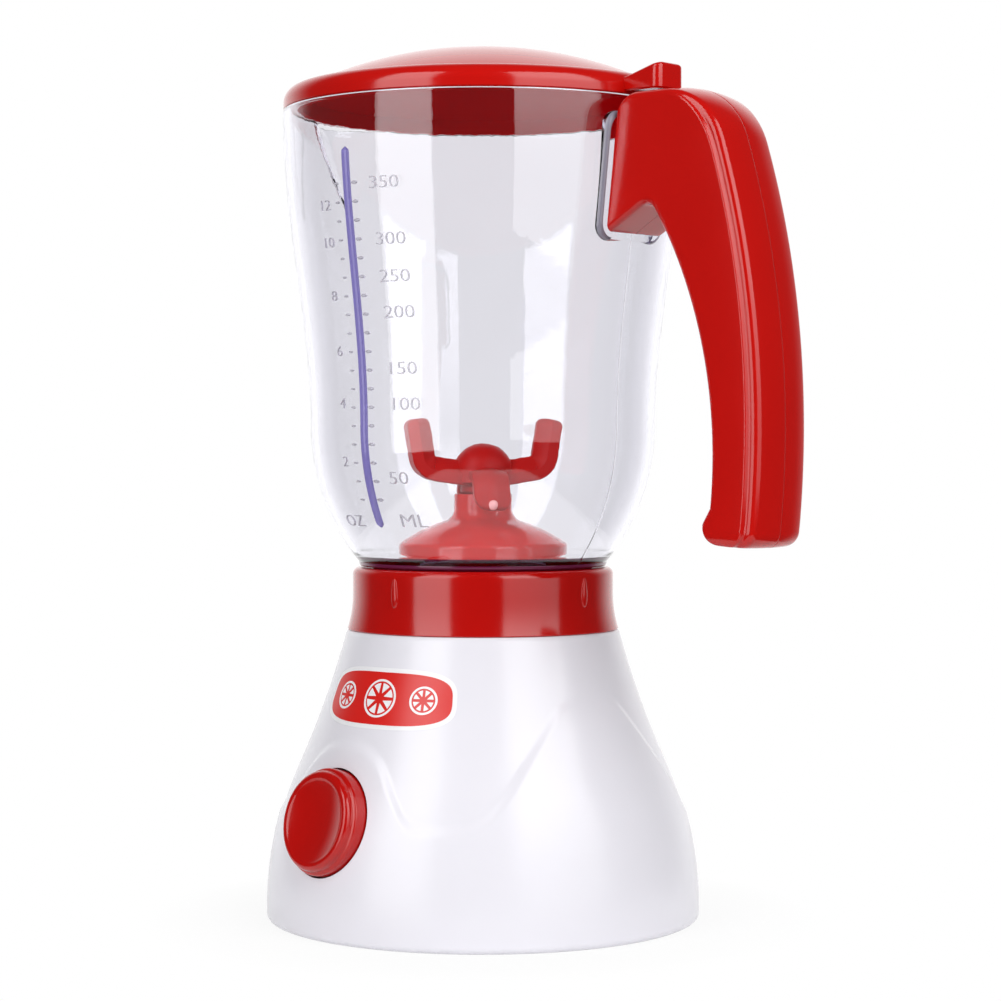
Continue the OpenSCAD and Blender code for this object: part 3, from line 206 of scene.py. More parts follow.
def surface_group():
    """Shared finish of moulded and plated parts: soft flow marks, fine grain and slightly uneven gloss."""
    group = bpy.data.node_groups.new("moulded_surface", "ShaderNodeTree")
    for way, names in (("INPUT", ("Colour", "Roughness", "Flow", "Grain size")),
                       ("OUTPUT", ("Colour", "Roughness", "Height"))):
        for name in names:
            kind = "NodeSocketColor" if name == "Colour" else "NodeSocketFloat"
            group.interface.new_socket(name, in_out=way, socket_type=kind)
    take = group.nodes.new("NodeGroupInput").outputs
    place = add_node(group, "TexCoord").outputs["Object"]
    flow = add_node(group, "TexNoise", {"Vector": place, "Scale": FLOW_SIZE, "Detail": 3})
    grain = add_node(group, "TexNoise", {"Vector": place, "Scale": take["Grain size"], "Detail": 2})
    level = reckon(group, "SUBTRACT", flow.outputs["Fac"], 0.5)
    bright = reckon(group, "ADD", reckon(group, "MULTIPLY", level, take["Flow"]), 1.0)
    tone = add_node(group, "HueSaturation", {"Value": bright, "Color": take["Colour"]})
    dull = add_node(group, "Math", {0: level, 1: GLOSS_DRIFT, 2: take["Roughness"]}, operation="MULTIPLY_ADD")
    give = group.nodes.new("NodeGroupOutput")
    feed(give, {"Colour": tone, "Roughness": dull, "Height": grain.outputs["Fac"]})
    return group


MOULDED = surface_group()


def surfaced(name, colour, roughness, flow, grain, bump, deep):
    """A new material on the shared surface, with its shader and the surface's own roughness."""
    material = bpy.data.materials.new(name)
    material.use_nodes = True
    tree = material.node_tree
    surface = add_node(tree, "Group", node_tree=MOULDED)
    feed(surface, {"Colour": (*colour, 1), "Roughness": roughness, "Flow": flow, "Grain size": grain})
    relief = add_node(tree, "Bump", {"Strength": bump, "Distance": deep, "Height": surface.outputs["Height"]})
    shader = tree.nodes["Principled BSDF"]
    feed(shader, {"Base Color": surface.outputs["Colour"], "Normal": relief})
    return material, shader, surface.outputs["Roughness"]


def finish_of(name, colour, roughness, flow=0.08, grain=1500, bump=0.02, metal=0.0, specular=0.5):
    """A material whose colour, gloss and grain come from the shared surface."""
    material, shader, uneven = surfaced(name, colour, roughness, flow, grain, bump, GRAIN_DEEP)
    feed(shader, {"Metallic": metal, "Specular IOR Level": specular, "Roughness": uneven})
    return material


def dress(node_names, material):
    """Gives CAD nodes a finish."""
    for name in node_names:
        nodes[name].data.materials.clear()
        nodes[name].data.materials.append(material)


white_plastic = finish_of("white_plastic", WHITE, 0.24, flow=0.02, grain=1800, bump=0.03)
zinc_steel = finish_of("zinc_steel", (0.56, 0.57, 0.6), 0.34, flow=0.25, grain=3200, bump=0.12, metal=1.0)
brass_sheet = finish_of("brass_sheet", (0.66, 0.48, 0.19), 0.3, flow=0.2, grain=2600, bump=0.1, metal=1.0)
cell_sleeve = finish_of("cell_sleeve", (0.05, 0.05, 0.06), 0.3, flow=0.2, bump=0.05)
dress(["bottom_plate", "battery_door"], white_plastic)
dress(["bottom_screws", "battery_door_screw", "battery_springs"], zinc_steel)
dress(["battery_contacts"], brass_sheet)
dress(["battery_cells"], cell_sleeve)

# Base shell. One white bell moulding with a convex belly and a drawn-in neck. A wavy skirt stands a
# little proud of the wall, and a sleeve behind the round hole guides the button.
MM = 0.001
BASE_R = 54
BASE_H = 72
BASE_EDGE = 3
EDGE_ROUND = 1.5
BELLY_ARC = 88
BELLY_ANGLE = radians(24)
DECK_R = 33.9
DECK_T = 2.4
DECK_ROUND = 0.7
SHELL_WALL = 2.2
RELIEF = 0.7
SKIRT_H = 28
BASE_TURN = radians(-6.5)
FRONT_LOBE = (46.5, 18.4, 0, radians(38))
SIDE_LOBE = (57, 10, 3.8, radians(42))
WAVE_EDGE = 2.3
WAVE_SLANT = 0.72
SIDE_BLEND = 8
SIDE_FADE = (50, 61)
VALLEY_ROUND = 4
BUSH_R = 4.02
BELLY_Z = BASE_EDGE + BELLY_ARC * sin(BELLY_ANGLE)
BELLY_R = BASE_R - BELLY_ARC * (1 - cos(BELLY_ANGLE))
NECK_LEAN = 2 * atan2(BELLY_R - DECK_R - RELIEF, BASE_H - BELLY_Z) - BELLY_ANGLE
NECK_ARC = (BASE_H - BELLY_Z) / (sin(BELLY_ANGLE) - sin(NECK_LEAN))
BUTTON_TILT = radians(13)
BUTTON_Z = 28
HOLE_R = 13.35
SLEEVE_R, SLEEVE_BACK, SLEEVE_FRONT = HOLE_R + SHELL_WALL, -10, -3.4
BORE_BACK, BORE_FRONT = -14, 9
AROUND = 540
SHELL_STEPS = 170


def bell_r(z):
    """Radius of the raised skirt at a height."""
    if z <= BASE_EDGE:
        return BASE_R
    if z <= BELLY_Z:
        return BASE_R - BELLY_ARC + sqrt(BELLY_ARC ** 2 - (z - BASE_EDGE) ** 2)
    turn = asin(sin(BELLY_ANGLE) - (z - BELLY_Z) / NECK_ARC)
    return BELLY_R - NECK_ARC * (cos(turn) - cos(BELLY_ANGLE))


def arc(centre, radius, start, end, steps):
    """Points along an arc in the plane, angles in degrees."""
    turns = np.radians(np.linspace(start, end, steps + 1))
    return [(centre[0] + radius * cos(t), centre[1] + radius * sin(t)) for t in turns]


def crest_height(across, peak, radius, level, slope):
    """Height of one crest of the wave, and of its flanks, at a distance from its middle."""
    out = np.abs(across) - level
    touch = radius * cos(slope)
    crown = peak - radius + np.sqrt(np.maximum(radius ** 2 - np.clip(out, 0, touch) ** 2, 0))
    return crown - np.maximum(out - touch, 0) / tan(slope)


def soft_max(a, b, blend):
    """The larger of two heights, with the corner between them rounded."""
    near = np.clip(0.5 + 0.5 * (a - b) / blend, 0, 1)
    return b + (a - b) * near + blend * near * (1 - near)


def smooth_step(t):
    """Runs from 0 to 1 with a soft start and a soft end."""
    t = np.clip(t, 0, 1)
    return t * t * (3 - 2 * t)


def all_round(steps):
    """Directions evenly round the axis."""
    return np.linspace(0, 2 * pi, steps, endpoint=False)


def turned(x, y, z, turn):
    """A point turned about the axis."""
    return x * cos(turn) - y * sin(turn), x * sin(turn) + y * cos(turn), z


def ring_rows(profile, around):
    """Rows of points on rings about the axis, for a list of radius and height pairs."""
    turns = all_round(around)
    return np.array([[turned(r, 0, z, t) for t in turns] for r, z in profile])


def ring_at(r, turns, z):
    """One ring of points about the axis, with one radius or a radius for each direction."""
    return np.column_stack((r * np.cos(turns), r * np.sin(turns), np.full(len(turns), z)))


def skin(rows, loop=False, poles=(None, None)):
    """Points and faces over rows of rings, joined end to end or closed with a point at each end."""
    rows = np.array(rows)
    count, around = rows.shape[:2]
    index = np.arange(count * around).reshape(count, around)
    points = [tuple(p) for p in rows.reshape(-1, 3)]
    faces = []
    for i in range(count if loop else count - 1):
        j = (i + 1) % count
        for k in range(around):
            m = (k + 1) % around
            faces.append((index[i, k], index[i, m], index[j, m], index[j, k]))
    for pole, row, turned_over in ((poles[0], 0, True), (poles[1], count - 1, False)):
        if pole is not None:
            tip = len(points)
            points.append(tuple(pole))
            for k in range(around):
                edge = (index[row, k], index[row, (k + 1) % around])
                faces.append((edge[1], edge[0], tip) if turned_over else (edge[0], edge[1], tip))
    return points, faces


def capped(rows):
    """A closed skin over rows of rings, with a point in the middle of each end."""
    rows = np.array(rows)
    return skin(rows, poles=(rows[0].mean(axis=0), rows[-1].mean(axis=0)))


def on_axis(low, high):
    """Two points on the axis."""
    return (0, 0, low), (0, 0, high)


def plug(radius, low, high, around):
    """A plain round plug on the axis."""
    return skin(ring_rows([(radius, low), (radius, high)], around), poles=on_axis(low, high))


def merge(*meshes):
    """Several lists of points and faces as one."""
    points, faces = [], []
    for more_points, more_faces in meshes:
        start = len(points)
        points.extend(more_points)
        faces.extend(tuple(start + k for k in face) for face in more_faces)
    return points, faces


def add_piece(name, shape, material, body=None, crease=32):
    """Makes a piece from points in millimetres, with its edges creased by angle, and hangs it on a body."""
    mesh = bpy.data.meshes.new(name)
    mesh.from_pydata([tuple(MM * c for c in p) for p in shape[0]], [], [tuple(map(int, f)) for f in shape[1]])
    tidy = bmesh.new()
    tidy.from_mesh(mesh)
    bmesh.ops.remove_doubles(tidy, verts=tidy.verts, dist=1e-7)
    bmesh.ops.recalc_face_normals(tidy, faces=tidy.faces)
    tidy.to_mesh(mesh)
    tidy.free()
    crease_edges(mesh, crease)
    piece = add_object(name, mesh)
    mesh.materials.append(material)
    if body:
        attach(piece, body)
    return piece


def crease_edges(mesh, angle):
    """Smooths a mesh and keeps the edges sharp where it turns by more than an angle."""
    mesh.polygons.foreach_set("use_smooth", [True] * len(mesh.polygons))
    mesh.set_sharp_from_angle(angle=radians(angle))


def baked(thing):
    """A new mesh of an object, with its modifiers or its lettering worked out."""
    bpy.context.view_layer.update()
    return bpy.data.meshes.new_from_object(thing.evaluated_get(bpy.context.evaluated_depsgraph_get()))


def cut_or_join(piece, shape, operation, crease=32):
    """Cuts a shape out of a piece, or joins it on, and keeps the result as the piece's mesh."""
    tool = add_piece("tool", shape, piece.data.materials[0])
    change = piece.modifiers.new("shape", "BOOLEAN")
    change.operation = operation
    change.solver = "EXACT"
    change.object = tool
    result = baked(piece)
    piece.modifiers.clear()
    old = piece.data
    piece.data = result
    result.name = piece.name
    bpy.data.meshes.remove(old)
    spare = tool.data
    bpy.data.objects.remove(tool)
    bpy.data.meshes.remove(spare)
    crease_edges(result, crease)


BUTTON_PLACE = Matrix.Translation((0, -bell_r(BUTTON_Z), BUTTON_Z))
BUTTON_FRAME = np.array(Matrix.Rotation(BASE_TURN, 4, "Z") @ BUTTON_PLACE
                        @ Matrix.Rotation(pi / 2 - BUTTON_TILT, 4, "X"))


def on_button(shape):
    """Moves a shape from the button's own axis to its place on the wall."""
    points = np.array(shape[0]) @ BUTTON_FRAME[:3, :3].T + BUTTON_FRAME[:3, 3]
    return [tuple(p) for p in points], shape[1]


turns = all_round(AROUND)
edge_profile = [(BASE_R - RELIEF - SHELL_WALL, 0)]
edge_profile += arc((BASE_R - EDGE_ROUND, EDGE_ROUND), EDGE_ROUND, -90, 0, 6)
shell_rows = [ring_at(r, turns, z) for r, z in edge_profile]
for z in np.linspace(EDGE_ROUND + 0.3, BASE_H - DECK_ROUND, SHELL_STEPS):
    r = bell_r(z)
    x, y = r * np.cos(turns - BASE_TURN), r * np.sin(turns - BASE_TURN)
    front, side = crest_height(x, *FRONT_LOBE), crest_height(y, *SIDE_LOBE)
    wave = soft_max(soft_max(front, side, VALLEY_ROUND), np.full(AROUND, SKIRT_H), VALLEY_ROUND)
    proud = smooth_step(0.5 + WAVE_SLANT * (wave - z) / WAVE_EDGE)
    fading = smooth_step((z - SIDE_FADE[0]) / (SIDE_FADE[1] - SIDE_FADE[0]))
    proud = proud * (1 - smooth_step(0.5 + (side - front) / SIDE_BLEND) * fading)
    shell_rows.append(ring_at(r - RELIEF * (1 - proud), turns, z))
inner_profile = arc((DECK_R - DECK_ROUND, BASE_H - DECK_ROUND), DECK_ROUND, 15, 90, 5)
inner_profile += [(BUSH_R, BASE_H), (BUSH_R, BASE_H - DECK_T)]
inner_profile += [(bell_r(z) - RELIEF - SHELL_WALL, z) for z in np.linspace(BASE_H - DECK_T, BASE_EDGE, 16)]
shell_rows.extend(ring_rows(inner_profile, AROUND))
base_shell = add_piece("base_shell_moulding", skin(shell_rows, loop=True), white_plastic)
bore = on_button(plug(HOLE_R, BORE_BACK, BORE_FRONT, 96))
cut_or_join(base_shell, bore, "DIFFERENCE", crease=40)
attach(base_shell, "base")
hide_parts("base_shell")
sleeve_profile = [(HOLE_R, SLEEVE_BACK), (SLEEVE_R, SLEEVE_BACK),
                  (SLEEVE_R, SLEEVE_FRONT), (HOLE_R, SLEEVE_FRONT)]
sleeve = skin(ring_rows(sleeve_profile, 96), loop=True)
add_piece("button_sleeve", on_button(sleeve), white_plastic, "base")

# Front label. A printed film stuck on the plain wall over the button: red field, white edge and a
# row of cut fruit in white. The film follows the curve of the wall.
FRONT = -90
LABEL_Z = 57.2
LABEL_TURN = radians(FRONT + 2)
LABEL_HALF = (19.6, 6.7)
LABEL_EDGE = 1.1
LABEL_LEAN = cos(radians(24))
FILM_T = 0.07
FILM_ROOT = -0.1
PRINT_LIFT = 3 * FILM_T
PEEL_W = 0.55
WEDGE_RIM = 1.0
WEDGE_GAP = 0.5
WEDGE_TIP = 0.28
FRUIT = ((-12.4, 3.6), (0, 4.9), (12.4, 3.6))
label_white = finish_of("label_white", (0.86, 0.86, 0.88), 0.3, flow=0.02, grain=900)
label_red = finish_of("label_red", (0.66, 0.012, 0.008), 0.3, flow=0.04, grain=900)


def on_wall(u, v, lift):
    """A point of the label, across and up from its middle, on the wall of the base."""
    z = LABEL_Z + v * LABEL_LEAN
    r = bell_r(z) - RELIEF + lift
    turn = LABEL_TURN + u / (bell_r(LABEL_Z) - RELIEF)
    return turned(r, 0, z, turn)


def film(outline, lift, rings=8):
    """A closed patch of film inside an outline round its own middle, lifted off the wall."""
    middle = np.mean(outline, axis=0)
    rows = [[on_wall(*p, FILM_ROOT) for p in outline]]
    for t in np.linspace(1, 1 / rings, rings):
        rows.append([on_wall(*(middle + (p - middle) * t), lift) for p in outline])
    return skin(rows, poles=(on_wall(*middle, FILM_ROOT), on_wall(*middle, lift)))


def rounded_field(half_u, half_v, power=3.4, steps=96):
    """Outline of a field with full, softly bowed sides."""
    turn = all_round(steps)
    c, s = np.cos(turn), np.sin(turn)
    u = half_u * np.sign(c) * np.abs(c) ** (2 / power)
    v = half_v * np.sign(s) * np.abs(s) ** (2 / power)
    return np.column_stack((u, v))


def fruit_slice(middle, radius, wedges=8):
    """A cut fruit: a ring of peel and its wedges."""
    circle = ring_at(1, all_round(48), 0)[:, :2]
    outer, inner = middle + circle * radius, middle + circle * (radius - PEEL_W)
    rows = [[on_wall(*p, lift) for p in edge] for edge, lift in
            ((outer, 0), (outer, PRINT_LIFT), (inner, PRINT_LIFT), (inner, 0))]
    shapes = [skin(rows, loop=True)]
    for k in range(wedges):
        mid = 2 * pi * (k + 0.5) / wedges
        spread = pi / wedges - WEDGE_GAP / radius
        rim = [middle + (radius - WEDGE_RIM) * np.array((cos(mid + t), sin(mid + t)))
               for t in np.linspace(-spread, spread, 9)]
        tip = middle + WEDGE_TIP * radius * np.array((cos(mid), sin(mid)))
        shapes.append(film(np.array(rim + [tip]), PRINT_LIFT, rings=3))
    return merge(*shapes)


label_outline = rounded_field(*(half + LABEL_EDGE for half in LABEL_HALF))
add_piece("label_edge", film(label_outline, FILM_T), label_white, "base")
add_piece("label_field", film(rounded_field(*LABEL_HALF), 2 * FILM_T), label_red, "base")
label_fruit = merge(*[fruit_slice(np.array((u, 0.0)), radius) for u, radius in FRUIT])
add_piece("label_fruit", label_fruit, label_white, "base")

# Push button. A red moulding with a dished face inside a rounded rim and a stepped side. It slides
# in the sleeve on the white plunger of the switch, against the spring inside the switch.
RED = (0.54, 0.0045, 0.0025)
# A darker copy of the red: painted shade for the push button and the collar.
PAINTED_SHADE_RED = (0.44, 0.0032, 0.0018)
BUTTON_R = 12.9
BUTTON_OUT = 3.55
SHOULDER_Z = 0.75
SHOULDER_ROUND = 0.7
RIM_R = 1.35
RIM_MIDDLE = 10.7
RIM_EDGE = RIM_MIDDLE + RIM_R
RIM_DROP = 0.22
DISH_R = 9.9
DISH = 2.0
FLANGE_R, FLANGE_BACK, FLANGE_FRONT = 15.1, -11.9, -10.3
red_plastic = finish_of("red_plastic", RED, 0.13)
painted_shade_red_plastic = finish_of("painted_shade_red_plastic", PAINTED_SHADE_RED, 0.13)
nylon = finish_of("nylon", (0.74, 0.72, 0.66), 0.45, flow=0.06, grain=2400, bump=0.08)
black_plastic = finish_of("black_plastic", (0.02, 0.02, 0.022), 0.4, flow=0.2, grain=2400, bump=0.08)
button_profile = [(FLANGE_R, FLANGE_BACK), (FLANGE_R, FLANGE_FRONT), (BUTTON_R, FLANGE_FRONT)]
button_profile += arc((BUTTON_R - SHOULDER_ROUND, SHOULDER_Z), SHOULDER_ROUND, 0, 72, 7)
button_profile += [(RIM_EDGE + 0.22, 1.48), (RIM_EDGE + 0.08, 1.6), (RIM_EDGE + 0.02, 1.8)]
button_profile += arc((RIM_MIDDLE, BUTTON_OUT - RIM_R), RIM_R, 0, 90, 12)
blend = np.linspace(0, 1, 8)[1:]
button_profile += [(RIM_MIDDLE - (RIM_MIDDLE - DISH_R) * t, BUTTON_OUT - RIM_DROP * t * t) for t in blend]
button_profile += [(r, BUTTON_OUT - DISH + (DISH - RIM_DROP) * (r / DISH_R) ** 2)
                   for r in np.linspace(DISH_R, 0.5, 22)[1:]]
button = skin(ring_rows(button_profile, 128), poles=on_axis(FLANGE_BACK, BUTTON_OUT - DISH))
# The button takes the darker red, painted shade.
push_button = add_piece("push_button_cap", on_button(button), painted_shade_red_plastic, "button")
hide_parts("push_button")
dress(["switch_plunger"], nylon)
dress(["switch_body", "lead_wires"], black_plastic)

# Motor and gears. A small can motor hangs under a plate screwed below the deck, and its brass pinion
# turns the large gear on the steel spindle that carries the driving dog.
winding = finish_of("copper_winding", (0.5, 0.2, 0.08), 0.42, flow=0.5, grain=4200, bump=0.5, metal=1.0)
dress(["gear_plate", "motor_end_cap", "drive_gear", "drive_dog"], nylon)
dress(["gear_plate_screws", "motor_can", "motor_screws", "drive_spindle", "motor_shaft"], zinc_steel)
dress(["spindle_bush", "motor_pinion"], brass_sheet)
dress(["motor_armature"], winding)

# Collar. A red ring on the deck, held by three screws from below. Its foot flares over the deck's
# edge, its socket takes the neck of the jug, and slim raised marks stand at four places.
COLLAR_H = 15.5
COLLAR_R = 32.5
COLLAR_FOOT_R = 33.8
COLLAR_FLARE = 9
FLARE_FROM = 0.25
SEAT_GAP = 0.02
COLLAR_ROUND = 1.8
COLLAR_TOP = BASE_H + COLLAR_H
SOCKET_R = 27.35
SOCKET_Z = 79
SOCKET_FLOOR = 2.5
SOCKET_HOLE_R = 12
MARK_H = 7.5
MARK_MID = 82
MARK_HALF = 1.0
MARK_ROOT = COLLAR_R - 0.3
MARK_PROUD = 0.85
MARK_SINK = 0.2
MARK_TURNS = (1, 91, 181, 271)
collar_profile = [(COLLAR_R - SHELL_WALL, BASE_H + SEAT_GAP), (COLLAR_FOOT_R - 0.2, BASE_H + SEAT_GAP)]
collar_profile += [(COLLAR_R + (COLLAR_FOOT_R - COLLAR_R) * (1 - t) ** 2,
                    BASE_H + FLARE_FROM + (COLLAR_FLARE - FLARE_FROM) * t) for t in np.linspace(0, 1, 16)]
collar_profile += arc((COLLAR_R - COLLAR_ROUND, COLLAR_TOP - COLLAR_ROUND), COLLAR_ROUND, 0, 90, 10)
collar_profile += arc((SOCKET_R + 0.5, COLLAR_TOP - 0.5), 0.5, 90, 180, 4)
collar_profile += [(SOCKET_R, SOCKET_Z), (SOCKET_HOLE_R, SOCKET_Z), (SOCKET_HOLE_R, SOCKET_Z - SOCKET_FLOOR),
                   (COLLAR_R - SHELL_WALL, SOCKET_Z - SOCKET_FLOOR)]


def raised_mark(azimuth):
    """A slim drop-shaped mark that stands out of the collar's side."""
    rows = []
    for t in np.linspace(-0.995, 0.995, 25):
        half = MARK_HALF * sqrt(1 - t * t) ** 0.7 * (1.05 - 0.25 * t)
        row = []
        for a in all_round(20):
            out = MARK_ROOT + MARK_PROUD * max(0, sin(a)) ** 0.7 * sqrt(1 - t * t) ** 0.6
            if sin(a) < 0:
                out = MARK_ROOT + MARK_SINK * sin(a)
            turn = azimuth + half * cos(a) / COLLAR_R
            row.append(turned(out, 0, MARK_MID + t * MARK_H / 2, turn))
        rows.append(row)
    return capped(rows)


collar_shape = merge(skin(ring_rows(collar_profile, 192), loop=True),
                     *[raised_mark(radians(a)) for a in MARK_TURNS])
# The collar takes the darker red, painted shade.
collar = add_piece("collar_ring", collar_shape, painted_shade_red_plastic, "base")
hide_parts("collar")
dress(["collar_screws"], zinc_steel)

# Jug. One clear moulding, faintly violet where it is thick: neck, round bowl, flared wall, a spout
# opposite the handle and a flat bracket behind the handle's root. A fine seam runs up the handle's side.
NECK_R = 27
NECK_INNER_R = 24.6
NECK_ROUND = 0.6
FOOT_Z = 87.75
FOOT_R = 30.9
FOOT_EDGE = 0.7
FOOT_BAND = 1.02
BOWL_Z = FOOT_Z + 1
JUG_FLOOR_Z = 90.4
FLOOR_ROUND = 1.2
WAIST_Z = 122.5
WAIST_R = 43
MOUTH_Z = 200.6
MOUTH_R = 49.75
MOUTH_H = 4
LIP = 0.4
LIP_ROUND = ((0.12, 0.28), (0.4, 0.39))
JUG_WALL = 1.8
BOWL_ARC = ((WAIST_R - FOOT_R) ** 2 + (WAIST_Z - BOWL_Z) ** 2) / (2 * (WAIST_R - FOOT_R))
SPOUT_OUT = 7.3
SPOUT_H = 23
SPOUT_HALF = 16
SPOUT_SPREAD = 16
SPOUT_LOW = 156
SPOUT_STEPS = 96
SEAM_PROUD = 0.12
SEAM_TURNS = np.radians([0.25, 0.5, 0.8])
HANDLE_TOP = 200.8
ROOT_H = 33.6
ROOT_X = 51.45
ROOT_LEAN = radians(6.5)
ROOT_FOOT = (ROOT_X - ROOT_H * tan(ROOT_LEAN), HANDLE_TOP - ROOT_H)
BRACKET_HALF = 12
BRACKET_LOW = -1.5
BRACKET_HIGH = 29.1
BRACKET_MID = (BRACKET_HIGH + BRACKET_LOW) / 2
BRACKET_HALF_H = (BRACKET_HIGH - BRACKET_LOW) / 2
BRACKET_ROUND = 4
BRACKET_EDGE = ((-9, 0), (-1.3, 0), (-0.95, 0.06), (-0.6, 0.22), (-0.33, 0.5), (-0.15, 0.95))
BRACKET_SIDE = (-1.32, -0.16)
HOUSING_HOLE_R = 7.3
CLEAR_GRAIN = {"flow": 0.02, "grain": 260, "bump": 0.05, "deep": 0.0003}
CLEAR_SHADOW = (0.94, 0.94, 0.96, 1)


def clear_finish(name, tint, roughness, absorb, density, clear=1.0):
    """Clear moulded plastic: light passes to what stands behind, and thick places turn violet."""
    material, shader, _ = surfaced(name, tint, roughness, **CLEAR_GRAIN)
    tree = material.node_tree
    feed(shader, {"Transmission Weight": clear, "IOR": 1.5, "Roughness": roughness})
    shadow = add_node(tree, "BsdfTransparent", {"Color": CLEAR_SHADOW})
    shadow_ray = add_node(tree, "LightPath").outputs["Is Shadow Ray"]
    choice = add_node(tree, "MixShader", {"Fac": shadow_ray, 1: shader, 2: shadow})
    depth = add_node(tree, "VolumeAbsorption", {"Color": (*absorb, 1), "Density": density})
    feed(tree.nodes["Material Output"], {"Surface": choice, "Volume": depth})
    return material


clear_plastic = clear_finish("clear_plastic", (0.957, 0.955, 0.968), 0.01, (0.5, 0.47, 0.75), 45)


def jug_r(z):
    """Outside radius of the jug at a height, without the spout."""
    if z >= MOUTH_Z - MOUTH_H:
        return MOUTH_R
    if z >= WAIST_Z:
        t = (z - WAIST_Z) / (MOUTH_Z - MOUTH_H - WAIST_Z)
        return WAIST_R + (MOUTH_R - WAIST_R) * t * t * (3 - 2 * t)
    return WAIST_R - BOWL_ARC + sqrt(BOWL_ARC ** 2 - (z - WAIST_Z) ** 2)


def spout_swell(turns, z):
    """How far the spout swells out of the wall in each direction."""
    up = max(0, (z - MOUTH_Z + SPOUT_H) / SPOUT_H)
    across = MOUTH_R * (turns - pi) / (1 + (SPOUT_HALF - 1) * up)
    return SPOUT_OUT * up ** 1.1 * np.maximum(1 - across ** 2, 0) ** 2


spout_turns = pi + np.radians(np.linspace(-SPOUT_SPREAD, SPOUT_SPREAD, 97))
jug_turns = np.concatenate((all_round(300), SEAM_TURNS, 2 * pi - SEAM_TURNS, spout_turns))
jug_turns = np.unique(jug_turns.round(6))


def jug_row(z, inset):
    """One ring of the jug's wall, with its spout and, on the outside, the mould seam."""
    r = jug_r(z) + spout_swell(jug_turns, z) - inset
    if not inset:
        off = np.abs((jug_turns + pi) % (2 * pi) - pi)
        r += SEAM_PROUD * np.clip(1 - off / SEAM_TURNS[1], 0, 1)
    return ring_at(r, jug_turns, z)


def wall_heights(low, high, bowl_steps, wall_steps):
    """Heights up the jug's wall, close together along the bowl and the spout."""
    return np.concatenate((np.linspace(low, WAIST_Z, bowl_steps),
                           np.linspace(WAIST_Z, SPOUT_LOW, wall_steps)[1:],
                           np.linspace(SPOUT_LOW, high, SPOUT_STEPS)[1:]))


foot_profile = [(NECK_R, SOCKET_Z + SEAT_GAP), (NECK_R, FOOT_Z - NECK_ROUND)]
foot_profile += arc((NECK_R + NECK_ROUND, FOOT_Z - NECK_ROUND), NECK_ROUND, 180, 90, 4)
foot_profile += arc((FOOT_R - FOOT_EDGE, FOOT_Z + FOOT_EDGE), FOOT_EDGE, -90, 0, 6)
jug_rows = [ring_at(r, jug_turns, z) for r, z in foot_profile]
jug_rows += [jug_row(z, 0) for z in wall_heights(BOWL_Z, MOUTH_Z - LIP, 40, 24)]
top = jug_rows[-1]
outward = ring_at(1, jug_turns, 0)
jug_rows += [top - draw_in * outward + (0, 0, rise) for draw_in, rise in LIP_ROUND]
jug_outside = skin(jug_rows, poles=on_axis(SOCKET_Z + SEAT_GAP, MOUTH_Z - 0.01))
outer_jug = add_piece("jug_moulding", jug_outside, clear_plastic)


def bracket_block():
    """The flat bracket behind the handle's root, square to the root's leaning face."""
    outline = []
    for cy, cz, start in ((1, 1, 0), (-1, 1, 90), (-1, -1, 180), (1, -1, 270)):
        end = BRACKET_HIGH if cz > 0 else BRACKET_LOW
        centre = (cy * (BRACKET_HALF - BRACKET_ROUND), end - cz * BRACKET_ROUND)
        outline += arc(centre, BRACKET_ROUND, start, start + 90, 8)
    rows = []
    for off, inset in BRACKET_EDGE:
        row = []
        for y, h in outline:
            h = BRACKET_MID + (h - BRACKET_MID) * (1 - inset / BRACKET_HALF_H)
            row.append((ROOT_FOOT[0] + off * cos(ROOT_LEAN) + h * sin(ROOT_LEAN),
                        y * (1 - inset / BRACKET_HALF),
                        ROOT_FOOT[1] - off * sin(ROOT_LEAN) + h * cos(ROOT_LEAN)))
        rows.append(row)
    return capped(rows)


cut_or_join(outer_jug, bracket_block(), "UNION")
floor_edge = jug_r(JUG_FLOOR_Z + FLOOR_ROUND) - JUG_WALL - FLOOR_ROUND
hollow_rows = []
for t in np.linspace(0, 1.2, 6):
    z = JUG_FLOOR_Z + FLOOR_ROUND - FLOOR_ROUND * cos(t)
    hollow_rows.append(ring_at(floor_edge + FLOOR_ROUND * sin(t), jug_turns, z))
hollow_rows += [jug_row(z, JUG_WALL) for z in wall_heights(JUG_FLOOR_Z + FLOOR_ROUND, MOUTH_Z + 1, 34, 23)]
jug_hollow = skin(hollow_rows, poles=on_axis(JUG_FLOOR_Z, MOUTH_Z + 1))
neck_hollow = plug(NECK_INNER_R, SOCKET_Z - 1, FOOT_Z, 128)
spigot_hole = plug(HOUSING_HOLE_R, FOOT_Z - 1, JUG_FLOOR_Z + 1, 64)
for hollow in (jug_hollow, neck_hollow, spigot_hole):
    cut_or_join(outer_jug, hollow, "DIFFERENCE")
# The foot's outer band is tinted dark red: a painted reflection of the red collar under it. Its violet in the
# thick plastic is the moulding's own.
foot_painted_reflection = clear_finish("foot_painted_reflection", (0.15, 0.014, 0.06), 0.12, (0.6, 0.35, 0.6), 80, clear=0.15)
bracket_plastic = clear_finish("bracket_plastic", (0.46, 0.44, 0.53), 0.08, (0.5, 0.47, 0.7), 150, clear=0.45)
outer_jug.data.materials.append(foot_painted_reflection)
outer_jug.data.materials.append(bracket_plastic)
for face in outer_jug.data.polygons:
    spot = face.center / MM
    out = (spot.x - ROOT_FOOT[0]) * cos(ROOT_LEAN) - (spot.z - ROOT_FOOT[1]) * sin(ROOT_LEAN)
    on_bracket = BRACKET_SIDE[0] < out < BRACKET_SIDE[1] and abs(spot.y) <= BRACKET_HALF
    # Faces of the foot's outer band take the painted reflection of the collar.
    if spot.z < FOOT_Z + FOOT_BAND and spot.xy.length > NECK_R + 0.05:
        face.material_index = 1
    elif on_bracket and spot.xy.length > jug_r(spot.z) + 0.25:
        face.material_index = 2
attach(outer_jug, "jug_body")
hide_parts("jug")

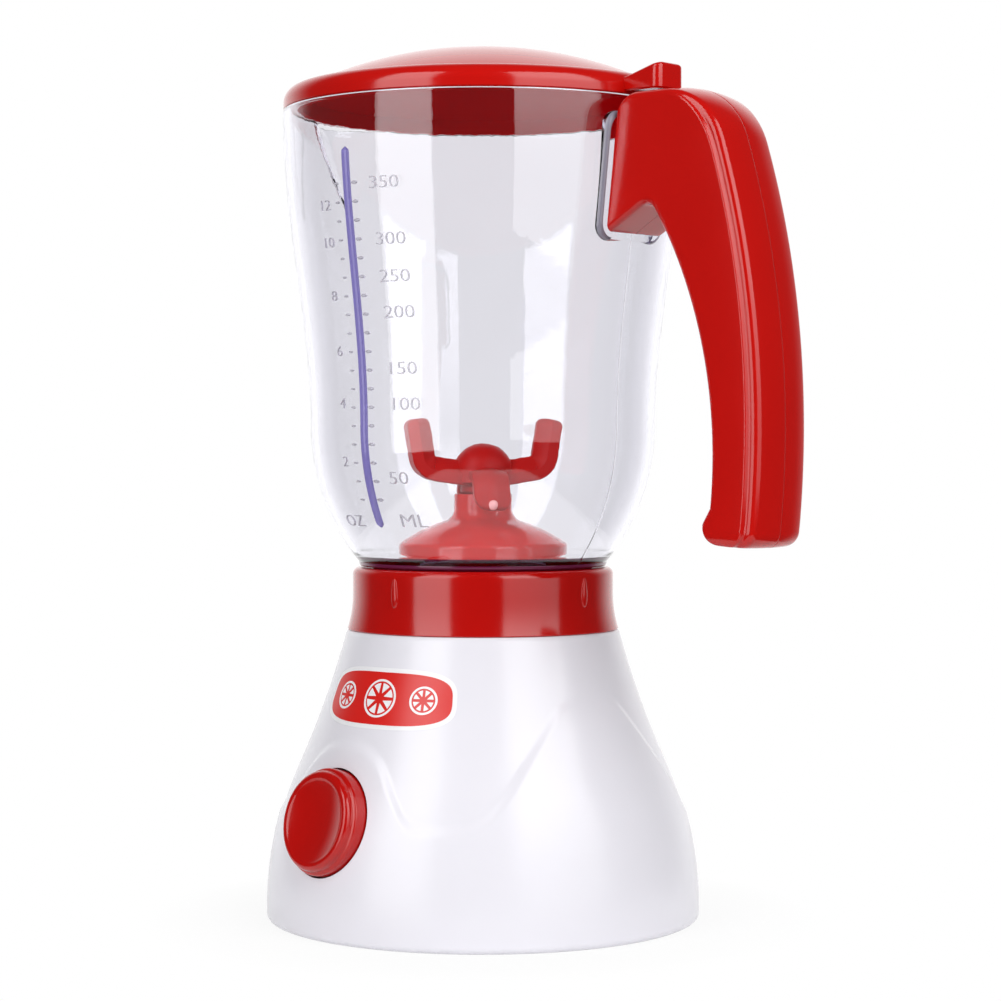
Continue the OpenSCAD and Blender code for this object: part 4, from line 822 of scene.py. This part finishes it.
# Measuring scale. A half-round rib moulded up the front of the jug, a row of small ticks on each side
# of it, and raised numbers for millilitres on its right and ounces on its left.
RIB_HALF = 1.15
RIB_PROUD = 0.75
RIB_FROM, RIB_TO = 98, 188
RIB_TURN = radians(FRONT + 1)
TICK_TOP, TICK_STEP, TICK_COUNT = 179.5, 4.4, 18
TICK_PROUD = 0.4
TICKS = ((2.3, 1.0, 0.42), (-3.6, 0.8, 0.3))
DIGIT_PROUD = 0.22
DIGIT_WIDE = 1.32
DIGIT_THIN = -0.07
CAPITAL = 0.7
MILLILITRES = ((350, 179.1, 8.5), (300, 166.0, 9.5), (250, 157.3, 10.0), (200, 148.9, 10.6),
               (150, 135.7, 10.3), (100, 127.3, 11.0), (50, 109.8, 9.3))
ML_TALL, ML_MARK = 3.0, ("ML", 10.4, 99.6, 3.2, "LEFT")
OZ_TALL, OZ_MARK = 2.5, ("OZ", -13, 99.4, 2.8)
OZ_ASIDE = -9
OUNCES = ((12, 174.6), (10, 165.8), (8, 153.2), (6, 140.1), (4, 127.6), (2, 113.7))

violet_plastic = clear_finish("violet_plastic", (0.3, 0.26, 0.58), 0.12, (0.4, 0.36, 0.75), 200, clear=0.5)
frosted_plastic = clear_finish("frosted_plastic", (0.6, 0.59, 0.63), 0.25, (0.6, 0.58, 0.7), 60, clear=0.6)


def on_jug(turn, across, z, lift):
    """A point on the jug's outside, a distance across from a direction, lifted off the wall."""
    r = jug_r(z) + lift
    turn = turn + across / jug_r(z)
    return turned(r, 0, z, turn)


rib_rows = []
for z in np.linspace(RIB_FROM, RIB_TO, 120):
    end = min(z - RIB_FROM, RIB_TO - z)
    part = sqrt(max(0.02, 1 - max(0, 1 - end / RIB_HALF) ** 2))
    ring = [(RIB_HALF * part * cos(a), max(-0.15, RIB_PROUD * part * sin(a)))
            for a in np.linspace(-0.3, pi + 0.3, 14)]
    rib_rows.append([on_jug(RIB_TURN, u, z, w) for u, w in ring])
add_piece("scale_rib", capped(rib_rows), violet_plastic, "jug_body")


def tick(turn, across, z, half_u, half_z, proud):
    """A small smooth bump on the wall."""
    rows = []
    for t in np.linspace(0.98, -0.98, 7):
        ring = [(half_u * cos(a) * sqrt(1 - t * t), half_z * sin(a) * sqrt(1 - t * t))
                for a in all_round(12)]
        rows.append([on_jug(turn, across + u, z + v, proud * t) for u, v in ring])
    return capped(rows[::-1])


ticks = merge(*[tick(RIB_TURN, across, TICK_TOP - TICK_STEP * k, half, tall, TICK_PROUD)
                for k in range(TICK_COUNT) for across, half, tall in TICKS])
add_piece("scale_ticks", ticks, frosted_plastic, "jug_body")


def raised_words(words, aside, z, tall, start="CENTER"):
    """Raised figures wrapped round the jug's wall, at degrees aside from the front."""
    turn = radians(FRONT + aside)
    curve = bpy.data.curves.new("figures", "FONT")
    curve.body = words
    curve.size = tall / CAPITAL
    curve.extrude = DIGIT_PROUD
    curve.offset = DIGIT_THIN
    curve.resolution_u = 3
    curve.align_x = start
    curve.align_y = "CENTER"
    stand = add_object("figures", curve)
    flat = baked(stand)
    points = [on_jug(turn, DIGIT_WIDE * v.co.x, z + v.co.y, v.co.z) for v in flat.vertices]
    faces = [tuple(p.vertices) for p in flat.polygons]
    bpy.data.objects.remove(stand)
    bpy.data.curves.remove(curve)
    bpy.data.meshes.remove(flat)
    return points, faces


figures = [raised_words(str(n), aside, z, ML_TALL, "LEFT") for n, z, aside in MILLILITRES]
figures.append(raised_words(*ML_MARK))
figures += [raised_words(str(n), OZ_ASIDE, z, OZ_TALL) for n, z in OUNCES]
figures.append(raised_words(*OZ_MARK))
add_piece("scale_figures", merge(*figures), frosted_plastic, "jug_body")

# Blade housing. A red bell on the jug's floor that carries the blade's shaft. Its spigot passes
# through the floor and a white ring snaps on from below.
HOUSING_R = 21
HOUSING_EDGE = 2.8
HOUSING_TOP = 105.9
HOUSING_NECK_R = 7.2
THROAT = 3.5
SPIGOT_Z = 87.4
SHAFT_HOLE_R = 2.05
HOUSING_ROUND = 1.3
HOUSING_BOW = np.array((0.9, 1.5))
HOUSING_FOOT = JUG_FLOOR_Z + SEAT_GAP / 2
housing_profile = [(SHAFT_HOLE_R, SPIGOT_Z), (HOUSING_NECK_R, SPIGOT_Z), (HOUSING_NECK_R, HOUSING_FOOT),
                   (HOUSING_R, HOUSING_FOOT), (HOUSING_R, JUG_FLOOR_Z + HOUSING_EDGE - 0.2)]
housing_profile += arc((HOUSING_R - HOUSING_ROUND, JUG_FLOOR_Z + HOUSING_EDGE - 0.3), HOUSING_ROUND, 8, 64, 8)
throat_arc = arc((HOUSING_NECK_R + THROAT, HOUSING_TOP - 3.4), THROAT, 243, 180, 10)
slope_start = np.array(housing_profile[-1])
slope_end = np.array(throat_arc[0])
housing_profile += [tuple(slope_start + (slope_end - slope_start) * t + HOUSING_BOW * t * (1 - t))
                    for t in np.linspace(0.1, 0.9, 9)]
housing_profile += throat_arc
housing_profile += arc((HOUSING_NECK_R - 0.3, HOUSING_TOP - 0.3), 0.3, 0, 90, 3)
housing_profile += [(SHAFT_HOLE_R, HOUSING_TOP)]
housing = add_piece("blade_housing_bell", skin(ring_rows(housing_profile, 128), loop=True), red_plastic,
                    "jug_body", crease=40)
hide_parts("blade_housing")
dress(["housing_ring", "driven_dog"], nylon)
dress(["blade_shaft"], zinc_steel)

# Blade. A red moulding with a domed hub and four bevelled arms, two turned up and two turned down,
# pressed on the shaft. A small round gate nub stands near the tip of each lower arm; its pale red is a
# painted highlight.
HUB_Z = 106.5
HUB_R = 7.4
HUB_H = 6
HUB_DOME = 6.8
HUB_EDGE = 0.25
HUB_NECK_R = 5.6
HUB_NECK_H = 2
DOME_Z = HUB_Z + HUB_H - 1
ARM_RISE = radians(13)
ARM_ROOT = 6.8
ARM_FROM = 2
ARM_Z = HUB_Z + HUB_NECK_H - ARM_ROOT * tan(ARM_RISE)
DOWN_Z = HUB_Z + HUB_NECK_H + 0.8
BLADE_SPAN = 18.8
ARM_W = 9
ARM_T = 3
ARM_RIDGE = 3.0
LOW_T, LOW_RIDGE = 0.7 * ARM_T, 0.3 * ARM_RIDGE
TIP_UP = 16.9
TIP_DOWN = 7.4
TIP_ROUND = 2.3
TIP_LEAD = 4
TIP_NOSE = 0.3
BLADE_TURN = radians(-39)
UP_TURNS = (BLADE_TURN + pi / 2, BLADE_TURN + 3 * pi / 2)
DOWN_TURNS = (BLADE_TURN, BLADE_TURN + pi)
BEND = ARM_T + ARM_RIDGE + 0.5
KNEE, DROP = 8, 5
GATE_ROOT = KNEE + DROP + LOW_T + LOW_RIDGE - 0.2
GATE_Z = DOWN_Z - 5.9
GATE_R, GATE_PROUD = 1.25, 0.8


def round_off(distance, radius):
    """How far a surface draws in at a distance from a rounded end."""
    return radius - sqrt(max(0, radius ** 2 - max(0, radius - distance) ** 2))


def arm(path, edge_t, ridge, turn, taper, lead):
    """One arm along its path in its own side view, bevelled above, with rounded corners at its tip."""
    length = [0]
    for a, b in zip(path, path[1:]):
        length.append(length[-1] + dist(a, b))
    high = edge_t + ridge
    rows = []
    for i, (x, z) in enumerate(path):
        before, after = path[max(i - 1, 0)], path[min(i + 1, len(path) - 1)]
        run = dist(before, after)
        t = ((after[0] - before[0]) / run, (after[1] - before[1]) / run)
        left = length[-1] - length[i]
        w = ARM_W / 2 - round_off(left, taper)
        v = ARM_W / 2 - round_off(left, lead)
        inner = min(0.3 * ARM_W / 2, v - 0.4)
        section = [(0, -v + 0.3), (0.3, -v), (edge_t - 0.3, -v), (edge_t, -v + 0.2),
                   (high - 0.15, -inner - 0.15), (high, -inner + 0.15), (high, 0.26 * w),
                   (high - 0.15, 0.34 * w), (edge_t, w - 0.2), (edge_t - 0.3, w), (0.3, w), (0, w - 0.3)]
        slim = 1 - 2 * round_off(left, TIP_NOSE * high) / high
        row = []
        for up, y in section:
            up = high / 2 + (up - high / 2) * slim
            row.append(turned(x - t[1] * up, y, z + t[0] * up, turn))
        rows.append(row)
    return capped(rows)


def path_tail(start, end, taper):
    """Points from a bend to a tip, close together where the tip rounds off."""
    start, end = np.array(start), np.array(end)
    long = dist(start, end)
    marks = [0.35 * (long - taper), long - taper]
    marks += [long - taper * (1 - sin(a)) for a in np.linspace(0.15, 1.5, 8)]
    return [tuple(start + (end - start) * m / long) for m in marks if m > 0.3]


up_x = BLADE_SPAN - BEND - 0.5
up_centre = (up_x, ARM_Z + up_x * tan(ARM_RISE) + BEND - 0.6)
up_bend = arc(up_centre, BEND, -90 + degrees(ARM_RISE), -5, 14)
up_path = [(ARM_FROM, ARM_Z + ARM_FROM * tan(ARM_RISE))] + up_bend
up_path += path_tail(up_bend[-1], (BLADE_SPAN + 0.9, ARM_Z + TIP_UP), TIP_ROUND)
down_bend = arc((KNEE, DOWN_Z - DROP), DROP, 80, 5, 12)
down_path = [(ARM_FROM, DOWN_Z)] + down_bend
down_path += path_tail(down_bend[-1], (KNEE + DROP + 0.3, DOWN_Z - TIP_DOWN), TIP_ROUND)
blade_parts = [arm(up_path, ARM_T, ARM_RIDGE, turn, TIP_ROUND, TIP_ROUND) for turn in UP_TURNS]
blade_parts += [arm(down_path, LOW_T, LOW_RIDGE, turn, TIP_ROUND, TIP_LEAD) for turn in DOWN_TURNS]
hub_profile = [(HUB_NECK_R, HUB_Z), (HUB_NECK_R, HUB_Z + HUB_NECK_H), (HUB_R - HUB_EDGE, HUB_Z + HUB_NECK_H),
               (HUB_R, HUB_Z + HUB_NECK_H + HUB_EDGE), (HUB_R, DOME_Z)]
hub_profile += [(HUB_R * cos(a), DOME_Z + HUB_DOME * sin(a)) for a in np.linspace(0.08, 1.48, 18)]
blade_parts.append(skin(ring_rows(hub_profile, 96), poles=on_axis(HUB_Z, DOME_Z + HUB_DOME)))


def gate_mark(turn):
    """The round nub near the tip of a lower arm."""
    rows = []
    for t in np.linspace(0, 1.45, 7):
        out, r = GATE_ROOT + GATE_PROUD * sin(t), GATE_R * cos(t)
        rows.append([turned(out, r * cos(a), GATE_Z + r * sin(a), turn) for a in all_round(20)])
    return capped(rows)


# The blade's red is darker than the other red parts: painted shade for the blade inside the jug.
blade_painted_shade_red = finish_of("blade_painted_shade_red", (0.4, 0.003, 0.002), 0.4, specular=0.15)
# Pale red on the gate nubs: a painted highlight.
gate_painted_highlight = finish_of("gate_painted_highlight", (0.85, 0.4, 0.38), 0.3, flow=0.1, grain=2200, bump=0.05)
blade = add_piece("blade_moulding", merge(*blade_parts), blade_painted_shade_red, "blade_body", crease=28)
gate_marks = merge(*[gate_mark(turn) for turn in DOWN_TURNS])
add_piece("blade_gate_marks", gate_marks, gate_painted_highlight, "blade_body")
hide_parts("blade")

# Handle. Two red half shells that meet along the middle of the outer face, clamp the jug's tongue and
# are held by two screws from behind. A fine step runs round the outer edge of each side face.
HANDLE_W = 21
HANDLE_CREASE = 38
OUTER_C, OUTER_R = (-122.55, 121.2), 215
INNER_C, INNER_R = (-28.35, 115), 107
CORNER_C, CORNER_R, CORNER_TURN = (64.645, 182.9), 17.9, 18.243
CROOK_C, CROOK_R, CROOK_TURN = (59.484, 170.689), 3, 32.375
ROOT_SLOPE = 30.4
HEEL_C, HEEL_R = (87.19, 98.2), 4
TOE_C, TOE_R = (79.75, 98.8), 4
INNER_END, OUTER_END = -6.255, -6.258
TOP_ROUND = 5.6
FOOT_ROUND = 2
ROOT_ROUND = 1.6
SIDE_ROUND = 1.8
EDGE_R = 0.55
STEP_DEEP = 0.88
STEP_W = 1.35
STEP_FROM, STEP_TO = 21, 33
BACK_ROUND = 1.9
CROWN = 0.8
SEAM = 0.05
TOE_STEPS = 16
TOE_DRAW, TOE_BOW = 2.6, 0.8
ROOT_PACE = 1.2
SCREWS_AT = ((56.45, 184.9), (84.95, 107.8))
SCREW_SINK = 2.4
SINK_R = 2.8

slope = radians(ROOT_SLOPE)
crook_start = (CROOK_C[0] - CROOK_R * sin(slope), CROOK_C[1] + CROOK_R * cos(slope))


def along(a, b, marks):
    """Points between two places, at given shares of the way."""
    return [(a[0] + (b[0] - a[0]) * t, a[1] + (b[1] - a[1]) * t) for t in marks]


near_root = 0.45 * (1 - np.cos(np.linspace(0, pi / 2, 14)))
root_marks = np.concatenate((near_root, np.linspace(0.52, 0.94, 5)))
inner_line = along(ROOT_FOOT, crook_start, root_marks)
inner_line += arc(CROOK_C, CROOK_R, 90 + ROOT_SLOPE, CROOK_TURN, 16)
inner_line += arc(INNER_C, INNER_R, CROOK_TURN - 1, INNER_END, 50)
inner_line += arc(TOE_C, TOE_R, 165, 265, TOE_STEPS)
outer_line = along((ROOT_X, HANDLE_TOP), (CORNER_C[0], HANDLE_TOP), root_marks)
outer_line += arc(CORNER_C, CORNER_R, 90, CORNER_TURN + 4, 16)
outer_line += arc(OUTER_C, OUTER_R, CORNER_TURN, OUTER_END + 0.5, 50)
outer_line += arc(HEEL_C, HEEL_R, OUTER_END, -85, TOE_STEPS)
inner_line, outer_line = np.array(inner_line), np.array(outer_line)
root_run = np.linalg.norm(np.array(crook_start) - ROOT_FOOT) * root_marks * ROOT_PACE
for k, run in enumerate(root_run):
    lean = outer_line[k] - inner_line[k]
    lean /= np.linalg.norm(lean)
    outer_line[k] = outer_line[k] - lean * round_off(run, TOP_ROUND)
    inner_line[k] = inner_line[k] + lean * round_off(run, FOOT_ROUND)
stations = len(inner_line)


def half_section(k):
    """Half of the handle's section at one station, from the inner edge round to the middle of the back."""
    a, b = inner_line[k], outer_line[k]
    d = np.linalg.norm(b - a)
    u = (b - a) / d
    w = HANDLE_W / 2
    if k < len(root_marks):
        w -= round_off(root_run[k], ROOT_ROUND)
    late = k - (stations - TOE_STEPS - 1)
    if late > 0:
        w -= TOE_DRAW * (1 - sqrt(1 - TOE_BOW * (late / TOE_STEPS) ** 2))
    inner_round = min(SIDE_ROUND, 0.3 * d)
    back = d - CROWN
    back_round = min(BACK_ROUND, 0.25 * d)
    edge = back - back_round - STEP_W
    stepped = arc((edge, w - EDGE_R), EDGE_R, 90, 15, 5)
    stepped += [(edge + EDGE_R + 0.05, w - 0.7 * STEP_DEEP), (edge + EDGE_R + 0.22, w - 0.92 * STEP_DEEP),
                (edge + EDGE_R + 0.5, w - 0.98 * STEP_DEEP)]
    stepped += arc((back - back_round, w - STEP_DEEP - back_round), back_round, 90, 10, 8)
    plain = arc((back - back_round, w - back_round), back_round, 90, 10, len(stepped) - 1)
    share = smooth_step((k - STEP_FROM) / (STEP_TO - STEP_FROM))
    section = [(0, SEAM), (0, 0.5 * w)] + arc((inner_round, w - inner_round), inner_round, 180, 90, 8)
    section += [(p + (s - p) * share, q + (r - q) * share) for (p, q), (s, r) in zip(plain, stepped)]
    last_p, last_q = section[-1]
    bowed = np.linspace(last_q, 0.5, 10)[1:]
    section += [(last_p + (d - last_p) * (1 - (q / last_q) ** 2), q) for q in bowed]
    section += [(d - 0.01, 0.25), (d - 0.06, SEAM + 0.04), (d - 0.15, SEAM)]
    return [(a[0] + u[0] * p, q, a[1] + u[1] * p) for p, q in section]


rear_shape = capped([half_section(k) for k in range(stations)])
front_shape = [(x, -y, z) for x, y, z in rear_shape[0]], rear_shape[1]
front_half = add_piece("handle_front_shell", front_shape, red_plastic, "jug_body",
                       HANDLE_CREASE)
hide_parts("handle_front_half")
rear_half = add_piece("handle_rear_shell", rear_shape, red_plastic, crease=HANDLE_CREASE)
for x, z in SCREWS_AT:
    sink = capped([[(x + SINK_R * cos(t), y, z + SINK_R * sin(t)) for t in all_round(48)]
                   for y in (HANDLE_W / 2 - SCREW_SINK, HANDLE_W / 2 + 1)])
    cut_or_join(rear_half, sink, "DIFFERENCE", HANDLE_CREASE)
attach(rear_half, "jug_body")
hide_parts("handle_rear_half")
dress(["handle_screws"], zinc_steel)

# Lid. A red moulding with a rounded rim band, a low dome, a short plug inside the jug's mouth and a
# thumb tab over the handle.
LID_R = 49.6
LID_RIM_H = 5.8
LID_RIM_ROUND = 4
LID_H = 15.4
DOME_R = 43.6
LID_WALL = 1.8
PLUG_R = 46.35
PLUG_DEPTH = 0.25
TAB_LEN = 10
TAB_HALF = 5
TAB_Z = 201.2
TAB_H = 6.2
TAB_ROOT_H = 3.9
TAB_ROUND = 2
TAB_SINK = 0.4
TAB_EDGE = ((0.4, False, 0), (0, False, 0.4), (0, True, -0.8), (0.06, True, -0.5), (0.23, True, -0.23),
            (0.5, True, -0.06), (0.8, True, 0))
# A darker red without sheen for the lid's underside: painted shade.
LID_SHADE_RED = (0.5, 0.002, 0.004)
sag = LID_H - LID_RIM_H
DOME_ARC = (DOME_R ** 2 + sag ** 2) / (2 * sag)
dome_centre = (0, MOUTH_Z + LID_H - DOME_ARC)
dome_edge = 90 - degrees(asin(DOME_R / DOME_ARC))
hollow_arc = DOME_ARC - LID_WALL
hollow_edge = 90 - degrees(asin((PLUG_R - LID_WALL) / hollow_arc))
lid_profile = [(PLUG_R - LID_WALL, MOUTH_Z - PLUG_DEPTH), (PLUG_R - 0.3, MOUTH_Z - PLUG_DEPTH),
               (PLUG_R, MOUTH_Z - PLUG_DEPTH + 0.1), (PLUG_R, MOUTH_Z + SEAT_GAP),
               (LID_R - 0.3, MOUTH_Z + SEAT_GAP), (LID_R, MOUTH_Z + 0.32)]
lid_profile += arc((LID_R - LID_RIM_ROUND, MOUTH_Z + LID_RIM_H - LID_RIM_ROUND), LID_RIM_ROUND, 0, 84, 16)
lid_profile += [(DOME_R + 0.7, MOUTH_Z + LID_RIM_H - 0.12), (DOME_R + 0.2, MOUTH_Z + LID_RIM_H - 0.08)]
lid_profile += arc(dome_centre, DOME_ARC, dome_edge, 89.5, 40)
lid_rows = ring_rows(lid_profile, 192)
under_rows = ring_rows(arc(dome_centre, hollow_arc, 89.5, hollow_edge, 24), 192)
lid_shape = skin([*under_rows, *lid_rows], poles=on_axis(MOUTH_Z + LID_H - LID_WALL, MOUTH_Z + LID_H))


def thumb_tab():
    """The tab beyond the rim, rising to a square end with rounded corners."""
    foot_x, end_x = LID_R - LID_RIM_ROUND, LID_R + TAB_LEN
    corner = arc((end_x - TAB_ROUND, -TAB_HALF + TAB_ROUND), TAB_ROUND, -90, 0, 10)
    plan = [(foot_x, -TAB_HALF)]
    plan += [(x, -TAB_HALF) for x in np.linspace(LID_R - 1, end_x - TAB_ROUND - 0.3, 10)] + corner
    plan += [(x, -y) for x, y in reversed(plan)]

    def top_of(x):
        share = min(1, max(0, (x - LID_R) / TAB_LEN))
        return TAB_Z + TAB_ROOT_H - TAB_SINK + (TAB_H - TAB_ROOT_H + TAB_SINK) * share

    rows = []
    for inset, from_top, rise in TAB_EDGE:
        row = []
        for x, y in plan:
            px = x - inset * max(0, min(1, (x - LID_R) / (TAB_LEN - TAB_ROUND)))
            row.append((px, y * (1 - inset / TAB_HALF), (top_of(x) if from_top else TAB_Z) + rise))
        rows.append(row)
    points, faces = skin(rows)
    around = len(plan)
    for base in (0, len(points) - around):
        for k in range(around // 2 - 1):
            faces.append((base + k, base + k + 1, base + around - 2 - k, base + around - 1 - k))
    return points, faces


lid_shape = merge(lid_shape, thumb_tab())
lid = add_piece("lid_moulding", lid_shape, red_plastic, "lid_body", crease=30)
lid_underside_painted_shade = finish_of("lid_underside_painted_shade", LID_SHADE_RED, 0.35, bump=0.03, specular=0.0)
lid.data.materials.append(lid_underside_painted_shade)
# Faces under the lid, inside the plug, take the painted shade.
for face in lid.data.polygons:
    if face.normal.z < 0.1 and face.center.xy.length < (PLUG_R - 0.2) * MM:
        face.material_index = 1
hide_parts("lid")
